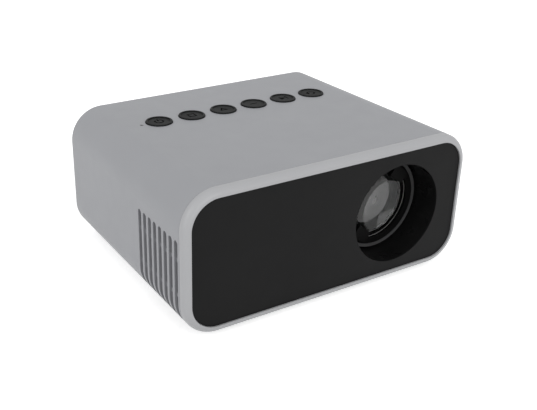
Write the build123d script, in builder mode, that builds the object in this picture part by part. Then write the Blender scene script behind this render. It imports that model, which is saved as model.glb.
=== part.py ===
from build123d import *
import math
import os

# A small LED projector: a grey sleeve housing with a black front panel, six keys on top,
# an internal light engine folded by a mirror, and a lens that is focused by turning its front ring.
# +Z up, the lens looks along -Y, +X is on the right seen from the front.
# The origin is the centre of the footprint, on the surface that the feet stand on.

os.makedirs("parts", exist_ok=True)

# ---------------------------------------------------------------- body
body_width = 127.0
body_depth = 100.0
body_height = 56.0
body_corner = 13.75
wall = 2.2
foot_height = 1.5
seam_chamfer = 0.15
rear_edge_round = 0.4
ledge_depth = 1.5
ledge_width = 1.0
bite = 0.2

# front bezel and front panel
lip_width = 2.9
lip_round = 2.75
bezel_depth = 3.5
bezel_thin_wall = 1.2
panel_inset = 0.6
panel_thickness = 1.8
panel_gap = 0.06

# clearances
fit_gap = 0.15
run_gap = 0.06
seat_gap = 0.2
skin_gap = 0.05

# lens opening and hood
lens_side = 33.1
lens_drop = 0.6
opening_radius = 20.25
hood_wall = 1.0
hood_end = 13.5

# focus mechanism, depths behind the front plane
holder_radius = 19.25
holder_wall = 1.35
holder_front = 12.3
ring_front = 12.5
ring_face = 0.8
ring_length = 24.3
ring_wall = 1.24
ring_mouth = 15.2
lug_reach = 11.5
lug_width = 7.5
lug_proud = 2.2
lug_thickness = 1.4
lug_angle = 54.0
forward_turn = 12.0
backward_turn = 78.0
cam_lead = 24.0
cam_count = 3
cam_pin_radius = 1.0
cam_pin_back = 9.6
cam_slot_gap = 0.1
pin_sunk = 0.25
end_play = 0.3
barrel_length = 26.4
barrel_bore = 13.4
rear_lip = 1.0
rear_lip_width = 1.4
pin_foot_wall = 1.2
glass_gap = 0.05
groove_depth = 0.5
groove_width = 1.4
groove_back = 20.5
guide_screw_radius = 0.6

# glass
front_glass_radius = 15.9
front_glass_curve = 36.0
front_glass_rear_curve = 60.0
front_glass_edge = 2.5
front_glass_land = 0.3
front_glass_rear_land = 2.7
glass_land = 1.7
middle_glass_curve = 60.0
middle_glass_edge = 4.5
rear_glass_curve = 30.0
rear_glass_rear_curve = 90.0
rear_glass_edge = 2.2
spacer_length = 6.0
spacer_wall = 0.9
stop_radius = 9.0
stop_thickness = 0.8
stop_gap = 0.4
stop_set_back = 1.2

# light engine
engine_wall = 1.8
engine_height = 35.6
engine_lid_thickness = 1.6
engine_rear_space = 14.4
engine_length = 37.5
engine_left = -34.0
engine_right_margin = 19.4
flange_thickness = 2.4
flange_half = 19.2
flange_screw_half = 15.2
light_hole_radius = 14.0
mirror_thickness = 1.5
mirror_length = 38.0
rail_size = 1.0
lamp_mouth = 24.0
post_radius = 3.4
condenser_place = -22.0
heat_glass_place = -11.0
lcd_place = 1.0
fresnel_step = 5.0
condenser_holder_thickness = 2.4
heat_glass_thickness = 1.1
fresnel_thickness = 2.0
lcd_thickness = 2.2
plate_notch = 1.0
condenser_hole = 13.0
condenser_radius = 14.0
condenser_curve = 26.0
condenser_edge = 1.5
lid_boss_radius = 2.2
lid_screw_length = 6.0
lid_corner = 2.6
lid_cut_corner = 0.9
lid_hole_length = 8.0
lid_hole_width = 5.0
sink_screw_y = 8.0
sink_screw_z = 14.5

# heat sink and lamp
sink_base = 3.0
sink_side_gap = 5.3
fin_thickness = 1.2
fin_count = 9
lamp_side = 20.0
lamp_thickness = 1.6
lamp_screw_offset = 7.5
emitter_radius = 4.0
emitter_height = 1.2
emitter_round = 0.6
lamp_lead_step = 1.8
lamp_lead_offset = 3.0
lamp_lead_up = 7.0

# fan
fan_side = 30.0
fan_depth = 10.0
fan_corner_dip = 1.0
fan_back = 20.0
fan_opening = 14.2
fan_hub = 7.0
fan_blades = 7
fan_shaft = 1.0
fan_corner = 2.0
fan_hole_inset = 3.0
fan_hole_radius = 1.4
stator_thickness = 1.4
stator_radius = 7.2
fan_arm = 2.0
bearing_radius = 2.2
bearing_gap = 1.2
hub_wall = 0.8
hub_gap = 0.5
hub_inset = 1.0
blade_chord = 6.0
blade_thickness = 0.9
blade_pitch = 40.0
blade_reach = 13.6
fan_rail = 1.2

# vents
vent_count = 8
vent_pitch = 4.0
vent_width = 2.5
vent_first = 6.0
vent_top = 38.0
vent_wrap = 9.5
vent_ribs = (30.0, 16.0)
vent_rib_height = 1.6
vent_rib_inset = 1.0
filter_thickness = 0.5

# keys
key_count = 6
key_pitch = 15.0
key_rear = 31.3
key_radius = 5.5
key_proud = 0.6
key_flange = 0.9
key_flange_height = 0.8
key_travel = 0.4
key_dish = 0.35
key_rim = 0.9
key_edge_round = 0.35
key_stem = 2.0
key_stem_length = 1.0
icon_depth = 0.25
icon_line = 0.6
switch_side = 6.0
switch_height = 2.0
switch_corner = 0.6
plunger_radius = 1.6
plunger_height = 0.9
plunger_sunk = 1.0
plunger_gap = 0.05
key_boss_offset = 8.0
board_thickness = 1.6
board_corner = 1.5
key_board_thickness = 1.0
key_board_depth = 21.0
key_board_margin = 10.0
lamp_dot_x = -45.2
lamp_dot_radius = 0.55
indicator_length = 1.6
indicator_width = 0.8
light_pipe_foot = 1.0

# base cover
base_side_margin = 16.5
base_end_margin = 7.0
base_corner = 5.0
base_rim = 4.0
base_rim_thickness = 1.6
base_screw_inset = 4.2
foot_radius = 4.0
foot_recess = 0.5
foot_inset_x = 9.5
foot_inset_y = 12.0
tripod_y = -12.0
tripod_bore = 2.55
tripod_insert_radius = 4.5
tripod_insert_length = 8.0
tripod_boss_wall = 1.6
post_inset_x = 8.0
post_offset_y = 12.0
post_lens_offset = 2.0
sound_hole_radius = 1.0
sound_hole_pitch = 6.0
intake_count = 7
intake_length = 34.0
intake_width = 2.0
intake_x = 6.4
foot_chamfer = 0.4

# screws
screw_radius = 1.0
screw_head = 1.9
screw_head_height = 0.9
boss_radius = 2.9
boss_margin = 1.0
boss_end = 1.0
rear_boss_length = 10.0
base_boss_height = 5.8
key_boss_radius = 2.2
key_screw_length = 3.5
board_screw_length = 5.0
cross_length = 2.4
cross_width = 0.5
cross_depth = 0.6

# rear panel and main board
rear_inset = 0.6
rear_thickness = 2.2
board_gap = 7.8
board_side_gap = 11.3
board_floor_gap = 9.8
board_roof_gap = 4.9
port_gap = 0.3
port_up = 9.0
port_sunk = 0.2
port_back = 1.0
port_corner = 0.5
board_boss_inset = 4.0
board_boss_radius = 2.4
rear_panel_chamfer = 0.3
power_jack_inset = 10.0
power_jack_radius = 4.4
power_jack_bore = 3.0
power_pin_radius = 1.0
power_pin_sunk = 1.0
hdmi_x = 21.0
hdmi_width = 15.0
hdmi_height = 5.8
hdmi_cut = 1.6
hdmi_tongue_width = 11.0
hdmi_tongue_thickness = 1.2
hdmi_tongue_rise = 0.5
usb_x = -1.0
usb_width = 14.4
usb_height = 7.0
usb_tongue_width = 10.8
usb_tongue_thickness = 1.8
usb_tongue_rise = 1.2
shell_wall = 0.6
av_x = -19.0
av_radius = 3.4
av_bore = 1.8
card_x = -34.0
card_width = 14.0
card_height = 2.6
card_mouth_width = 11.4
card_mouth_height = 1.1
ir_x = 0.0
ir_up = 34.5
ir_radius = 3.2
ir_flange = 1.2
ir_flange_thickness = 0.8
ir_proud = 0.3
ir_round = 0.5
receiver_width = 5.5
receiver_height = 6.5
receiver_body = 4.6
receiver_dome = 1.4
receiver_dome_radius = 2.2

# loudspeaker
speaker_x = -22.0
speaker_y = -26.0
speaker_radius = 16.0
speaker_rim = 2.2
rim_height = 1.8
basket_height = 9.0
basket_wall = 1.0
basket_window_width = 12.0
basket_window_height = 4.0
magnet_height = 5.5
magnet_back = 2.0
magnet_radius = 8.0
coil_radius = 4.8
coil_wall = 0.5
coil_gap = 0.5
coil_sunk = 2.0
cone_gap = 0.3
cone_low = 1.2
cone_high = 6.2
cone_thickness = 0.5
cone_flat = 1.5
cap_dip = 1.2

# ribbons and leads
ribbon_thickness = 0.2
ribbon_slot = 1.4
lcd_ribbon_width = 12.0
lcd_ribbon_reach = 7.0
lcd_ribbon_bend = 1.0
key_ribbon_width = 8.0
key_ribbon_x = 22.0
key_ribbon_lap = 2.0
key_ribbon_bend = 2.0
lead_radius = 0.6
speaker_lead_gap = 0.35

# ---------------------------------------------------------------- places worked out from the sizes
half_width = body_width / 2
front_y = -body_depth / 2
rear_y = body_depth / 2
bottom_z = foot_height
top_z = bottom_z + body_height
mid_z = (bottom_z + top_z) / 2
side_x = half_width - wall
roof_z = top_z - wall
floor_z = bottom_z + wall
lens_x = half_width - lens_side
lens_z = mid_z - lens_drop
housing_front_y = front_y + bezel_depth
rear_panel_front_y = rear_y - rear_inset - rear_thickness
board_rear_y = rear_panel_front_y - board_gap
board_front_y = board_rear_y - board_thickness
engine_rear_y = rear_y - engine_rear_space
engine_front_y = engine_rear_y - engine_length
engine_axis_y = (engine_front_y + engine_rear_y) / 2
engine_low_z = lens_z - (engine_height + engine_lid_thickness) / 2
engine_lid_z = engine_low_z + engine_height
engine_top_z = engine_lid_z + engine_lid_thickness
engine_right = lens_x + engine_right_margin
key_y = rear_y - key_rear
fan_y = front_y + fan_back
base_width = body_width - 2 * base_side_margin
base_depth = body_depth - 2 * base_end_margin
foot_x = base_width / 2 - foot_inset_x
foot_y = base_depth / 2 - foot_inset_y
board_width = 2 * (side_x - board_side_gap)
board_low = floor_z + board_floor_gap
fin_length = side_x + engine_left - sink_base - sink_side_gap
fan_z = bottom_z + body_corner - fan_corner_dip + fan_side / 2
head_sink = screw_head_height + 0.1
vent_low_y = front_y + vent_first - vent_width / 2
vent_high_y = front_y + vent_first + (vent_count - 1) * vent_pitch + vent_width / 2

lens_axis = Axis((lens_x, 0, lens_z), (0, 1, 0))
lens_plane = Plane(origin=(lens_x, 0, lens_z), x_dir=(1, 0, 0), z_dir=(0, 0, 1))
turn_advance = cam_lead / 360
forward_travel = forward_turn * turn_advance
backward_travel = backward_turn * turn_advance


def facing(y, x=0.0, z=0.0):
    """Plane seen from the front at depth y: local x is +X, local y is +Z, extrude(-t) goes back."""
    return Plane(origin=(x, y, z), x_dir=(1, 0, 0), z_dir=(0, -1, 0))


def sideways(x, y=0.0, z=0.0):
    """Plane seen along X: local x is +Y, local y is +Z, extrude(t) goes to +X."""
    return Plane(origin=(x, y, z), x_dir=(0, 1, 0), z_dir=(1, 0, 0))


def level(z, x=0.0, y=0.0):
    """Horizontal plane at height z."""
    return Plane(origin=(x, y, z))


def four_places(across, up, middle_x=0.0, middle_y=0.0):
    """Corners of a rectangle about its middle, from its half width and half height."""
    return [(middle_x + x, middle_y + y) for x in (-across, across) for y in (-up, up)]


def turned_over(places):
    """The same places as read on a plane that faces down."""
    return [(x, -y) for x, y in places]


def radial(angle, y):
    """Plane square to a radius of the lens axis, angle from +X towards +Z."""
    turn = math.radians(angle)
    return Plane(origin=(lens_x, y, lens_z), x_dir=(0, 1, 0), z_dir=(math.cos(turn), 0, math.sin(turn)))


# ---------------------------------------------------------------- housing
rear_boss_x = side_x - boss_radius + bite
rear_boss_low = bottom_z + body_corner + boss_margin
rear_boss_high = top_z - body_corner - boss_margin
base_screw_x = base_width / 2 - base_screw_inset
base_screw_y = base_depth / 2 - base_screw_inset
key_boss_x = 2 * key_pitch
key_stack = key_flange_height + seat_gap + key_stem_length + plunger_height + switch_height
key_board_top = roof_z - key_stack
key_board_low = key_board_top - key_board_thickness
key_boss_places = four_places(key_boss_x, key_boss_offset, 0, key_y)
base_screw_places = four_places(base_screw_x, base_screw_y)
rear_screw_places = four_places(rear_boss_x, (rear_boss_high - rear_boss_low) / 2, 0, mid_z)
housing_length = rear_y - housing_front_y

with BuildPart() as housing:
    with BuildSketch(facing(housing_front_y, 0, mid_z)):
        RectangleRounded(body_width, body_height, body_corner)
    extrude(amount=-housing_length)
    fillet(housing.faces().sort_by(Axis.Y)[-1].edges(), rear_edge_round)
    chamfer(housing.faces().sort_by(Axis.Y)[0].edges(), seam_chamfer)
    with BuildSketch(facing(housing_front_y, 0, mid_z)):
        RectangleRounded(body_width - 2 * wall, body_height - 2 * wall, body_corner - wall)
    extrude(amount=-housing_length, mode=Mode.SUBTRACT)
    # ledge that the rear panel seats on
    ledge_edge = wall + ledge_width
    with BuildSketch(facing(rear_panel_front_y - ledge_depth, 0, mid_z)):
        RectangleRounded(body_width - 2 * wall + bite, body_height - 2 * wall + bite, body_corner - wall)
        RectangleRounded(
            body_width - 2 * ledge_edge, body_height - 2 * ledge_edge, body_corner - ledge_edge, mode=Mode.SUBTRACT
        )
    extrude(amount=-ledge_depth)
    # vent slots on both sides, wrapped round the lower corners
    with BuildSketch(sideways(-half_width - 1)) as vent_slots:
        for slot in range(vent_count):
            slot_y = front_y + vent_first + slot * vent_pitch
            slot_height = vent_top + vent_width
            with Locations((slot_y, bottom_z + vent_top - slot_height / 2)):
                SlotOverall(slot_height, vent_width, rotation=90)
    extrude(amount=vent_wrap + 1, mode=Mode.SUBTRACT)
    with BuildSketch(sideways(half_width + 1)):
        add(vent_slots.sketch_local)
    extrude(amount=-vent_wrap - 1, mode=Mode.SUBTRACT)
    # recessed ribs across the slots
    for side in (-1, 1):
        for rib_up in vent_ribs:
            rib_x = side * (half_width - vent_rib_inset - (wall - vent_rib_inset) / 2)
            with Locations((rib_x, (vent_low_y + vent_high_y) / 2, bottom_z + rib_up)):
                Box(wall - vent_rib_inset, vent_high_y - vent_low_y + 1, vent_rib_height)
    # key holes and the indicator hole
    with BuildSketch(level(top_z + 1)):
        with Locations((0, key_y)):
            with GridLocations(key_pitch, 1, key_count, 1):
                Circle(key_radius + fit_gap)
        with Locations((lamp_dot_x, key_y)):
            Circle(lamp_dot_radius + fit_gap)
    extrude(amount=-wall - 1, mode=Mode.SUBTRACT)
    # bosses that carry the key board
    with BuildSketch(level(key_board_top)):
        with Locations(key_boss_places):
            Circle(key_boss_radius)
    extrude(until=Until.NEXT)
    with BuildSketch(level(key_board_top)):
        with Locations(key_boss_places):
            Circle(screw_radius)
    extrude(amount=key_screw_length + bite, mode=Mode.SUBTRACT)
    # opening for the base cover, with a rebate for its rim
    with BuildSketch(level(bottom_z)):
        RectangleRounded(base_width + 2 * fit_gap, base_depth + 2 * fit_gap, base_corner)
    extrude(amount=base_rim_thickness, mode=Mode.SUBTRACT)
    with BuildSketch(level(bottom_z)):
        RectangleRounded(base_width - 2 * base_rim, base_depth - 2 * base_rim, base_corner)
    extrude(amount=wall, mode=Mode.SUBTRACT)
    with BuildSketch(level(floor_z - (wall - base_rim_thickness))):
        with Locations(base_screw_places):
            Circle(boss_radius)
    extrude(amount=base_boss_height)
    with BuildSketch(level(bottom_z + base_rim_thickness)):
        with Locations(base_screw_places):
            Circle(screw_radius)
    extrude(amount=base_boss_height, mode=Mode.SUBTRACT)
    # bosses for the rear panel screws
    with BuildSketch(facing(rear_panel_front_y)):
        with Locations(rear_screw_places):
            Circle(boss_radius)
    extrude(amount=rear_boss_length)
    with BuildSketch(facing(rear_panel_front_y)):
        with Locations(rear_screw_places):
            Circle(screw_radius)
    extrude(amount=rear_boss_length - boss_end, mode=Mode.SUBTRACT)
    # rails that hold the fan on the left side wall
    rail_reach = filter_thickness + seat_gap + fan_depth
    rail_low = bottom_z + body_corner
    rail_high = fan_z + fan_side / 2
    rail_step = fan_side / 2 + fit_gap + fan_rail / 2
    for rail_y in (fan_y - rail_step, fan_y + rail_step):
        with Locations((-side_x + (rail_reach - bite) / 2, rail_y, (rail_low + rail_high) / 2)):
            Box(rail_reach + bite, fan_rail, rail_high - rail_low)
housing.part.label = "housing"
export_step(housing.part, "parts/housing.step")

# ---------------------------------------------------------------- front bezel and panel
with BuildPart() as front_bezel:
    with BuildSketch(facing(front_y, 0, mid_z)):
        RectangleRounded(body_width, body_height, body_corner)
    extrude(amount=-bezel_depth)
    fillet(front_bezel.faces().sort_by(Axis.Y)[0].edges(), lip_round)
    chamfer(front_bezel.faces().sort_by(Axis.Y)[-1].edges(), seam_chamfer)
    with BuildSketch(facing(front_y, 0, mid_z)):
        RectangleRounded(body_width - 2 * lip_width, body_height - 2 * lip_width, body_corner - lip_width)
    extrude(amount=-bezel_depth, mode=Mode.SUBTRACT)
    with BuildSketch(facing(front_y + panel_inset + panel_thickness, 0, mid_z)):
        RectangleRounded(
            body_width - 2 * bezel_thin_wall, body_height - 2 * bezel_thin_wall, body_corner - bezel_thin_wall
        )
    extrude(amount=-bezel_depth, mode=Mode.SUBTRACT)
front_bezel.part.label = "front_bezel"
export_step(front_bezel.part, "parts/front_bezel.step")

panel_flange_y = front_y + panel_inset + panel_thickness
panel_edge = lip_width + panel_gap
flange_edge = bezel_thin_wall + fit_gap
with BuildPart() as front_panel:
    with BuildSketch(facing(front_y + panel_inset, 0, mid_z)):
        RectangleRounded(body_width - 2 * panel_edge, body_height - 2 * panel_edge, body_corner - panel_edge)
    extrude(amount=-panel_thickness)
    with BuildSketch(facing(panel_flange_y, 0, mid_z)):
        RectangleRounded(
            body_width - 2 * flange_edge, body_height - 2 * flange_edge, body_corner - flange_edge
        )
    extrude(amount=-(housing_front_y - panel_flange_y))
    with BuildSketch(facing(panel_flange_y, lens_x, lens_z)):
        Circle(opening_radius + hood_wall)
    extrude(amount=-(front_y + hood_end - panel_flange_y))
    with BuildSketch(facing(front_y, lens_x, lens_z)):
        Circle(opening_radius)
    extrude(amount=-hood_end, mode=Mode.SUBTRACT)
front_panel.part.label = "front_panel"
export_step(front_panel.part, "parts/front_panel.step")

# ---------------------------------------------------------------- dust filters behind the vents
filter_edge = wall + fit_gap
filter_inner_edge = wall + filter_thickness
filter_low = bottom_z
filter_high = bottom_z + vent_top + vent_width
filter_reach = vent_wrap - wall + vent_width
filter_half = fan_side / 2 + fit_gap - skin_gap
with BuildPart() as dust_filters:
    for side in (-1, 1):
        with BuildSketch(facing(fan_y - filter_half, 0, mid_z)):
            RectangleRounded(
                body_width - 2 * filter_edge, body_height - 2 * filter_edge, body_corner - filter_edge
            )
            RectangleRounded(
                body_width - 2 * filter_inner_edge,
                body_height - 2 * filter_inner_edge,
                body_corner - filter_inner_edge,
                mode=Mode.SUBTRACT,
            )
            with Locations((side * (side_x - filter_reach / 2), (filter_low + filter_high) / 2 - mid_z)):
                Rectangle(filter_reach, filter_high - filter_low, mode=Mode.INTERSECT)
        extrude(amount=-2 * filter_half)
dust_filters.part.label = "dust_filters"
export_step(dust_filters.part, "parts/dust_filters.step")

# ---------------------------------------------------------------- base cover, feet, tripod insert
base_inner_width = base_width - 2 * base_rim - 2 * fit_gap
base_inner_depth = base_depth - 2 * base_rim - 2 * fit_gap
post_height = engine_low_z - floor_z
post_places = [
    (engine_left + post_inset_x, engine_axis_y - post_offset_y),
    (engine_left + post_inset_x, engine_axis_y + post_offset_y),
    (lens_x + post_lens_offset, engine_axis_y),
]
foot_places = four_places(foot_x, foot_y)
with BuildPart() as base_cover:
    with BuildSketch(level(bottom_z)):
        RectangleRounded(base_width, base_depth, base_corner)
    extrude(amount=base_rim_thickness)
    with BuildSketch(level(bottom_z + base_rim_thickness)):
        RectangleRounded(base_inner_width, base_inner_depth, base_corner)
    extrude(amount=wall - base_rim_thickness)
    with BuildSketch(level(bottom_z + base_rim_thickness)):
        with Locations(base_screw_places):
            Circle(boss_radius + fit_gap)
    extrude(amount=wall - base_rim_thickness, mode=Mode.SUBTRACT)
    with BuildSketch(level(floor_z)):
        with Locations(post_places):
            Circle(post_radius)
        with Locations((0, tripod_y)):
            Circle(tripod_insert_radius + tripod_boss_wall)
    extrude(amount=post_height)
    with BuildSketch(level(bottom_z)):
        with Locations(post_places):
            Circle(screw_radius + fit_gap)
    extrude(amount=wall + post_height, mode=Mode.SUBTRACT)
    with BuildSketch(level(bottom_z)):
        with Locations(foot_places):
            Circle(foot_radius + fit_gap)
    extrude(amount=foot_recess, mode=Mode.SUBTRACT)
    with BuildSketch(level(bottom_z)):
        with Locations(base_screw_places + post_places):
            Circle(screw_head + fit_gap)
    extrude(amount=head_sink, mode=Mode.SUBTRACT)
    with BuildSketch(level(bottom_z)):
        with Locations(base_screw_places):
            Circle(screw_radius + fit_gap)
    extrude(amount=base_rim_thickness, mode=Mode.SUBTRACT)
    with BuildSketch(level(bottom_z)):
        with Locations((0, tripod_y)):
            Circle(tripod_insert_radius)
    extrude(amount=tripod_insert_length, mode=Mode.SUBTRACT)
    # sound holes under the loudspeaker
    with BuildSketch(level(bottom_z)):
        with Locations((speaker_x, speaker_y)):
            Circle(sound_hole_radius)
            with PolarLocations(sound_hole_pitch * 2 / 3, 6):
                Circle(sound_hole_radius)
            with PolarLocations(sound_hole_pitch * 4 / 3, 12):
                Circle(sound_hole_radius)
    extrude(amount=wall, mode=Mode.SUBTRACT)
    # air intake slots under the light engine
    with BuildSketch(level(bottom_z)):
        with Locations((intake_x, engine_axis_y)):
            with GridLocations(1, vent_pitch, 1, intake_count):
                SlotOverall(intake_length, intake_width)
    extrude(amount=wall, mode=Mode.SUBTRACT)
base_cover.part.label = "base_cover"
export_step(base_cover.part, "parts/base_cover.step")

with BuildPart() as feet:
    with BuildSketch(level(0)):
        with Locations(foot_places):
            Circle(foot_radius)
    extrude(amount=foot_height + foot_recess)
    chamfer(feet.faces().filter_by(Axis.Z).group_by(Axis.Z)[0].edges(), foot_chamfer)
feet.part.label = "feet"
export_step(feet.part, "parts/feet.step")

with BuildPart() as tripod_insert:
    with BuildSketch(level(bottom_z)):
        with Locations((0, tripod_y)):
            Circle(tripod_insert_radius)
            Circle(tripod_bore, mode=Mode.SUBTRACT)
    extrude(amount=tripod_insert_length)
tripod_insert.part.label = "tripod_insert"
export_step(tripod_insert.part, "parts/tripod_insert.step")

# ---------------------------------------------------------------- keys
key_names = ("power", "menu", "up", "down", "play", "back")
key_top = top_z + key_proud
plunger_top = roof_z - seat_gap - key_flange_height - key_stem_length
switch_top = key_board_top + switch_height


def icon_power():
    Circle(2.0)
    Circle(2.0 - icon_line, mode=Mode.SUBTRACT)
    with Locations((0, 2.0)):
        Rectangle(3 * icon_line, 2.0, mode=Mode.SUBTRACT)
    with Locations((0, 1.3)):
        Rectangle(icon_line, 2.2)


def icon_menu():
    Rectangle(3.4, 3.4)
    Rectangle(3.4 - 2 * icon_line, 3.4 - 2 * icon_line, mode=Mode.SUBTRACT)


def icon_up():
    RegularPolygon(2.2, 3, rotation=90)
    RegularPolygon(2.2 - 2 * icon_line, 3, rotation=90, mode=Mode.SUBTRACT)


def icon_down():
    Rectangle(3.8, icon_line)


def icon_play():
    with Locations((-0.5, 0)):
        RegularPolygon(1.9, 3)
    with Locations((1.9, 0)):
        Rectangle(icon_line, 3.2)


def icon_back():
    Circle(1.9)
    Circle(1.9 - icon_line, mode=Mode.SUBTRACT)
    with Locations((-1.0, -1.0)):
        Rectangle(2.0, 2.0, mode=Mode.SUBTRACT)
    with Locations((-1.6, -0.3)):
        RegularPolygon(1.1, 3, rotation=-90)


key_icons = (icon_power, icon_menu, icon_up, icon_down, icon_play, icon_back)
for number, key_name in enumerate(key_names):
    key_x = (number - (key_count - 1) / 2) * key_pitch
    key_low = roof_z - seat_gap - key_flange_height
    with BuildPart() as key_cap:
        with BuildSketch(level(key_low, key_x, key_y)):
            Circle(key_radius + key_flange)
        extrude(amount=key_flange_height)
        with BuildSketch(level(key_low, key_x, key_y)):
            Circle(key_radius)
        extrude(amount=key_top - key_low)
        fillet(key_cap.faces().sort_by(Axis.Z)[-1].edges(), key_edge_round)
        with BuildSketch(level(key_top - key_dish, key_x, key_y)):
            Circle(key_radius - key_rim)
        extrude(amount=key_dish, mode=Mode.SUBTRACT)
        with BuildSketch(level(key_top - key_dish - icon_depth, key_x, key_y)):
            key_icons[number]()
        extrude(amount=icon_depth, mode=Mode.SUBTRACT)
        with BuildSketch(level(plunger_top + plunger_gap, key_x, key_y)):
            Circle(key_stem)
        extrude(amount=key_low - plunger_top - plunger_gap)
        # plunger of the switch, a solid of its own just under the stem
        with BuildSketch(level(plunger_top, key_x, key_y)):
            Circle(plunger_radius)
        extrude(amount=-(plunger_top - switch_top + plunger_sunk))
    key_cap.part.label = f"{key_name}_key"
    export_step(key_cap.part, f"parts/{key_name}_key.step")

key_board_width = (key_count - 1) * key_pitch + 2 * key_board_margin
with BuildPart() as key_board:
    with BuildSketch(level(key_board_low)):
        with Locations((0, key_y)):
            RectangleRounded(key_board_width, key_board_depth, board_corner)
        with Locations(key_boss_places):
            Circle(screw_radius + fit_gap, mode=Mode.SUBTRACT)
    extrude(amount=key_board_thickness)
key_board.part.label = "key_board"
export_step(key_board.part, "parts/key_board.step")

with BuildPart() as key_switches:
    with BuildSketch(level(key_board_top, 0, key_y)):
        with GridLocations(key_pitch, 1, key_count, 1):
            RectangleRounded(switch_side, switch_side, switch_corner)
    extrude(amount=switch_height)
    with BuildSketch(level(switch_top, 0, key_y)):
        with GridLocations(key_pitch, 1, key_count, 1):
            Circle(plunger_radius + run_gap)
    extrude(amount=-(plunger_sunk + key_travel + 0.2), mode=Mode.SUBTRACT)
    # indicator lamp under the light pipe
    with BuildSketch(level(key_board_top, lamp_dot_x, key_y)):
        Rectangle(indicator_length, indicator_width)
    extrude(amount=indicator_width)
key_switches.part.label = "key_switches"
export_step(key_switches.part, "parts/key_switches.step")

light_pipe_low = key_board_top + indicator_width + seat_gap
with BuildPart() as light_pipe:
    with BuildSketch(level(light_pipe_low, lamp_dot_x, key_y)):
        Circle(light_pipe_foot)
    extrude(amount=roof_z - light_pipe_low)
    with BuildSketch(level(light_pipe_low, lamp_dot_x, key_y)):
        Circle(lamp_dot_radius)
    extrude(amount=top_z - light_pipe_low)
light_pipe.part.label = "light_pipe"
export_step(light_pipe.part, "parts/light_pipe.step")

# ---------------------------------------------------------------- lens holder and focus mechanism
holder_bore = holder_radius - holder_wall
holder_front_y = front_y + holder_front
ring_front_y = front_y + ring_front
ring_rear_y = ring_front_y + ring_length
lug_front_y = ring_front_y - lug_proud
ring_radius = holder_bore - run_gap
ring_bore = ring_radius - ring_wall
barrel_radius = ring_bore - run_gap
barrel_front_y = ring_front_y + ring_face + forward_travel + end_play
barrel_rear_y = barrel_front_y + barrel_length
pin_y = barrel_front_y + cam_pin_back
cam_radius = (ring_radius + ring_bore) / 2
cam_slot_width = 2 * (cam_pin_radius + cam_slot_gap)
cam_end_turn = math.degrees((cam_pin_radius + end_play) / cam_radius)
cam_start_y = pin_y - forward_travel - cam_end_turn * turn_advance
cam_height = (forward_turn + backward_turn + 2 * cam_end_turn) * turn_advance
pin_tip = holder_radius - pin_sunk
screw_tip = ring_radius - groove_depth + fit_gap
groove_y = ring_front_y + groove_back
first_guide_angle = 150.0
guide_angles = (first_guide_angle, first_guide_angle + 180)

with BuildPart() as cam_cutter:
    with BuildLine() as cam_path:
        Helix(cam_lead, cam_height, cam_radius, center=(lens_x, cam_start_y, lens_z), direction=(0, 1, 0))
    cam_start = cam_path.line @ 0
    cam_outward = Vector(cam_start.X - lens_x, 0, cam_start.Z - lens_z).normalized()
    with BuildSketch(Plane(origin=cam_start, x_dir=cam_outward, z_dir=cam_path.line % 0)):
        Rectangle(3 * ring_wall, cam_slot_width)
    sweep(is_frenet=True)
cam_start_angle = math.degrees(math.atan2(cam_outward.Z, cam_outward.X))
first_pin_angle = cam_start_angle - forward_turn - cam_end_turn
cam_step = 360 / cam_count
pin_angles = [first_pin_angle + turn * cam_step for turn in range(cam_count)]
cam_cutters = [cam_cutter.part.rotate(lens_axis, -turn * cam_step) for turn in range(cam_count)]

with BuildPart() as lens_holder:
    with BuildSketch(facing(engine_front_y - flange_thickness, lens_x, lens_z)):
        Rectangle(2 * flange_half, 2 * flange_half)
        with GridLocations(2 * flange_screw_half, 2 * flange_screw_half, 2, 2):
            Circle(screw_radius + fit_gap, mode=Mode.SUBTRACT)
    extrude(amount=-flange_thickness)
    with BuildSketch(facing(holder_front_y, lens_x, lens_z)):
        Circle(holder_radius)
    extrude(amount=-(engine_front_y - holder_front_y))
    with BuildSketch(facing(holder_front_y, lens_x, lens_z)):
        Circle(holder_bore)
    extrude(amount=-(ring_rear_y + seat_gap - holder_front_y), mode=Mode.SUBTRACT)
    with BuildSketch(facing(ring_rear_y, lens_x, lens_z)):
        Circle(barrel_radius + run_gap)
    extrude(amount=-(engine_front_y - ring_rear_y), mode=Mode.SUBTRACT)
    # straight slots that the cam pins slide in
    slot_span = forward_travel + backward_travel + 2 * (cam_pin_radius + end_play)
    for pin_angle in pin_angles:
        with BuildSketch(radial(pin_angle, pin_y + (backward_travel - forward_travel) / 2)):
            SlotOverall(slot_span, cam_slot_width)
        extrude(amount=holder_radius + 1, mode=Mode.SUBTRACT)
    for guide_angle in guide_angles:
        with BuildSketch(radial(guide_angle, groove_y)):
            Circle(guide_screw_radius)
        extrude(amount=holder_radius + 1, mode=Mode.SUBTRACT)
lens_holder.part.label = "lens_holder"
export_step(lens_holder.part, "parts/lens_holder.step")

with BuildPart() as focus_guide_screws:
    for guide_angle in guide_angles:
        with BuildSketch(radial(guide_angle, groove_y).offset(screw_tip)):
            Circle(guide_screw_radius)
        extrude(amount=pin_tip - screw_tip)
focus_guide_screws.part.label = "focus_guide_screws"
export_step(focus_guide_screws.part, "parts/focus_guide_screws.step")

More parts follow.
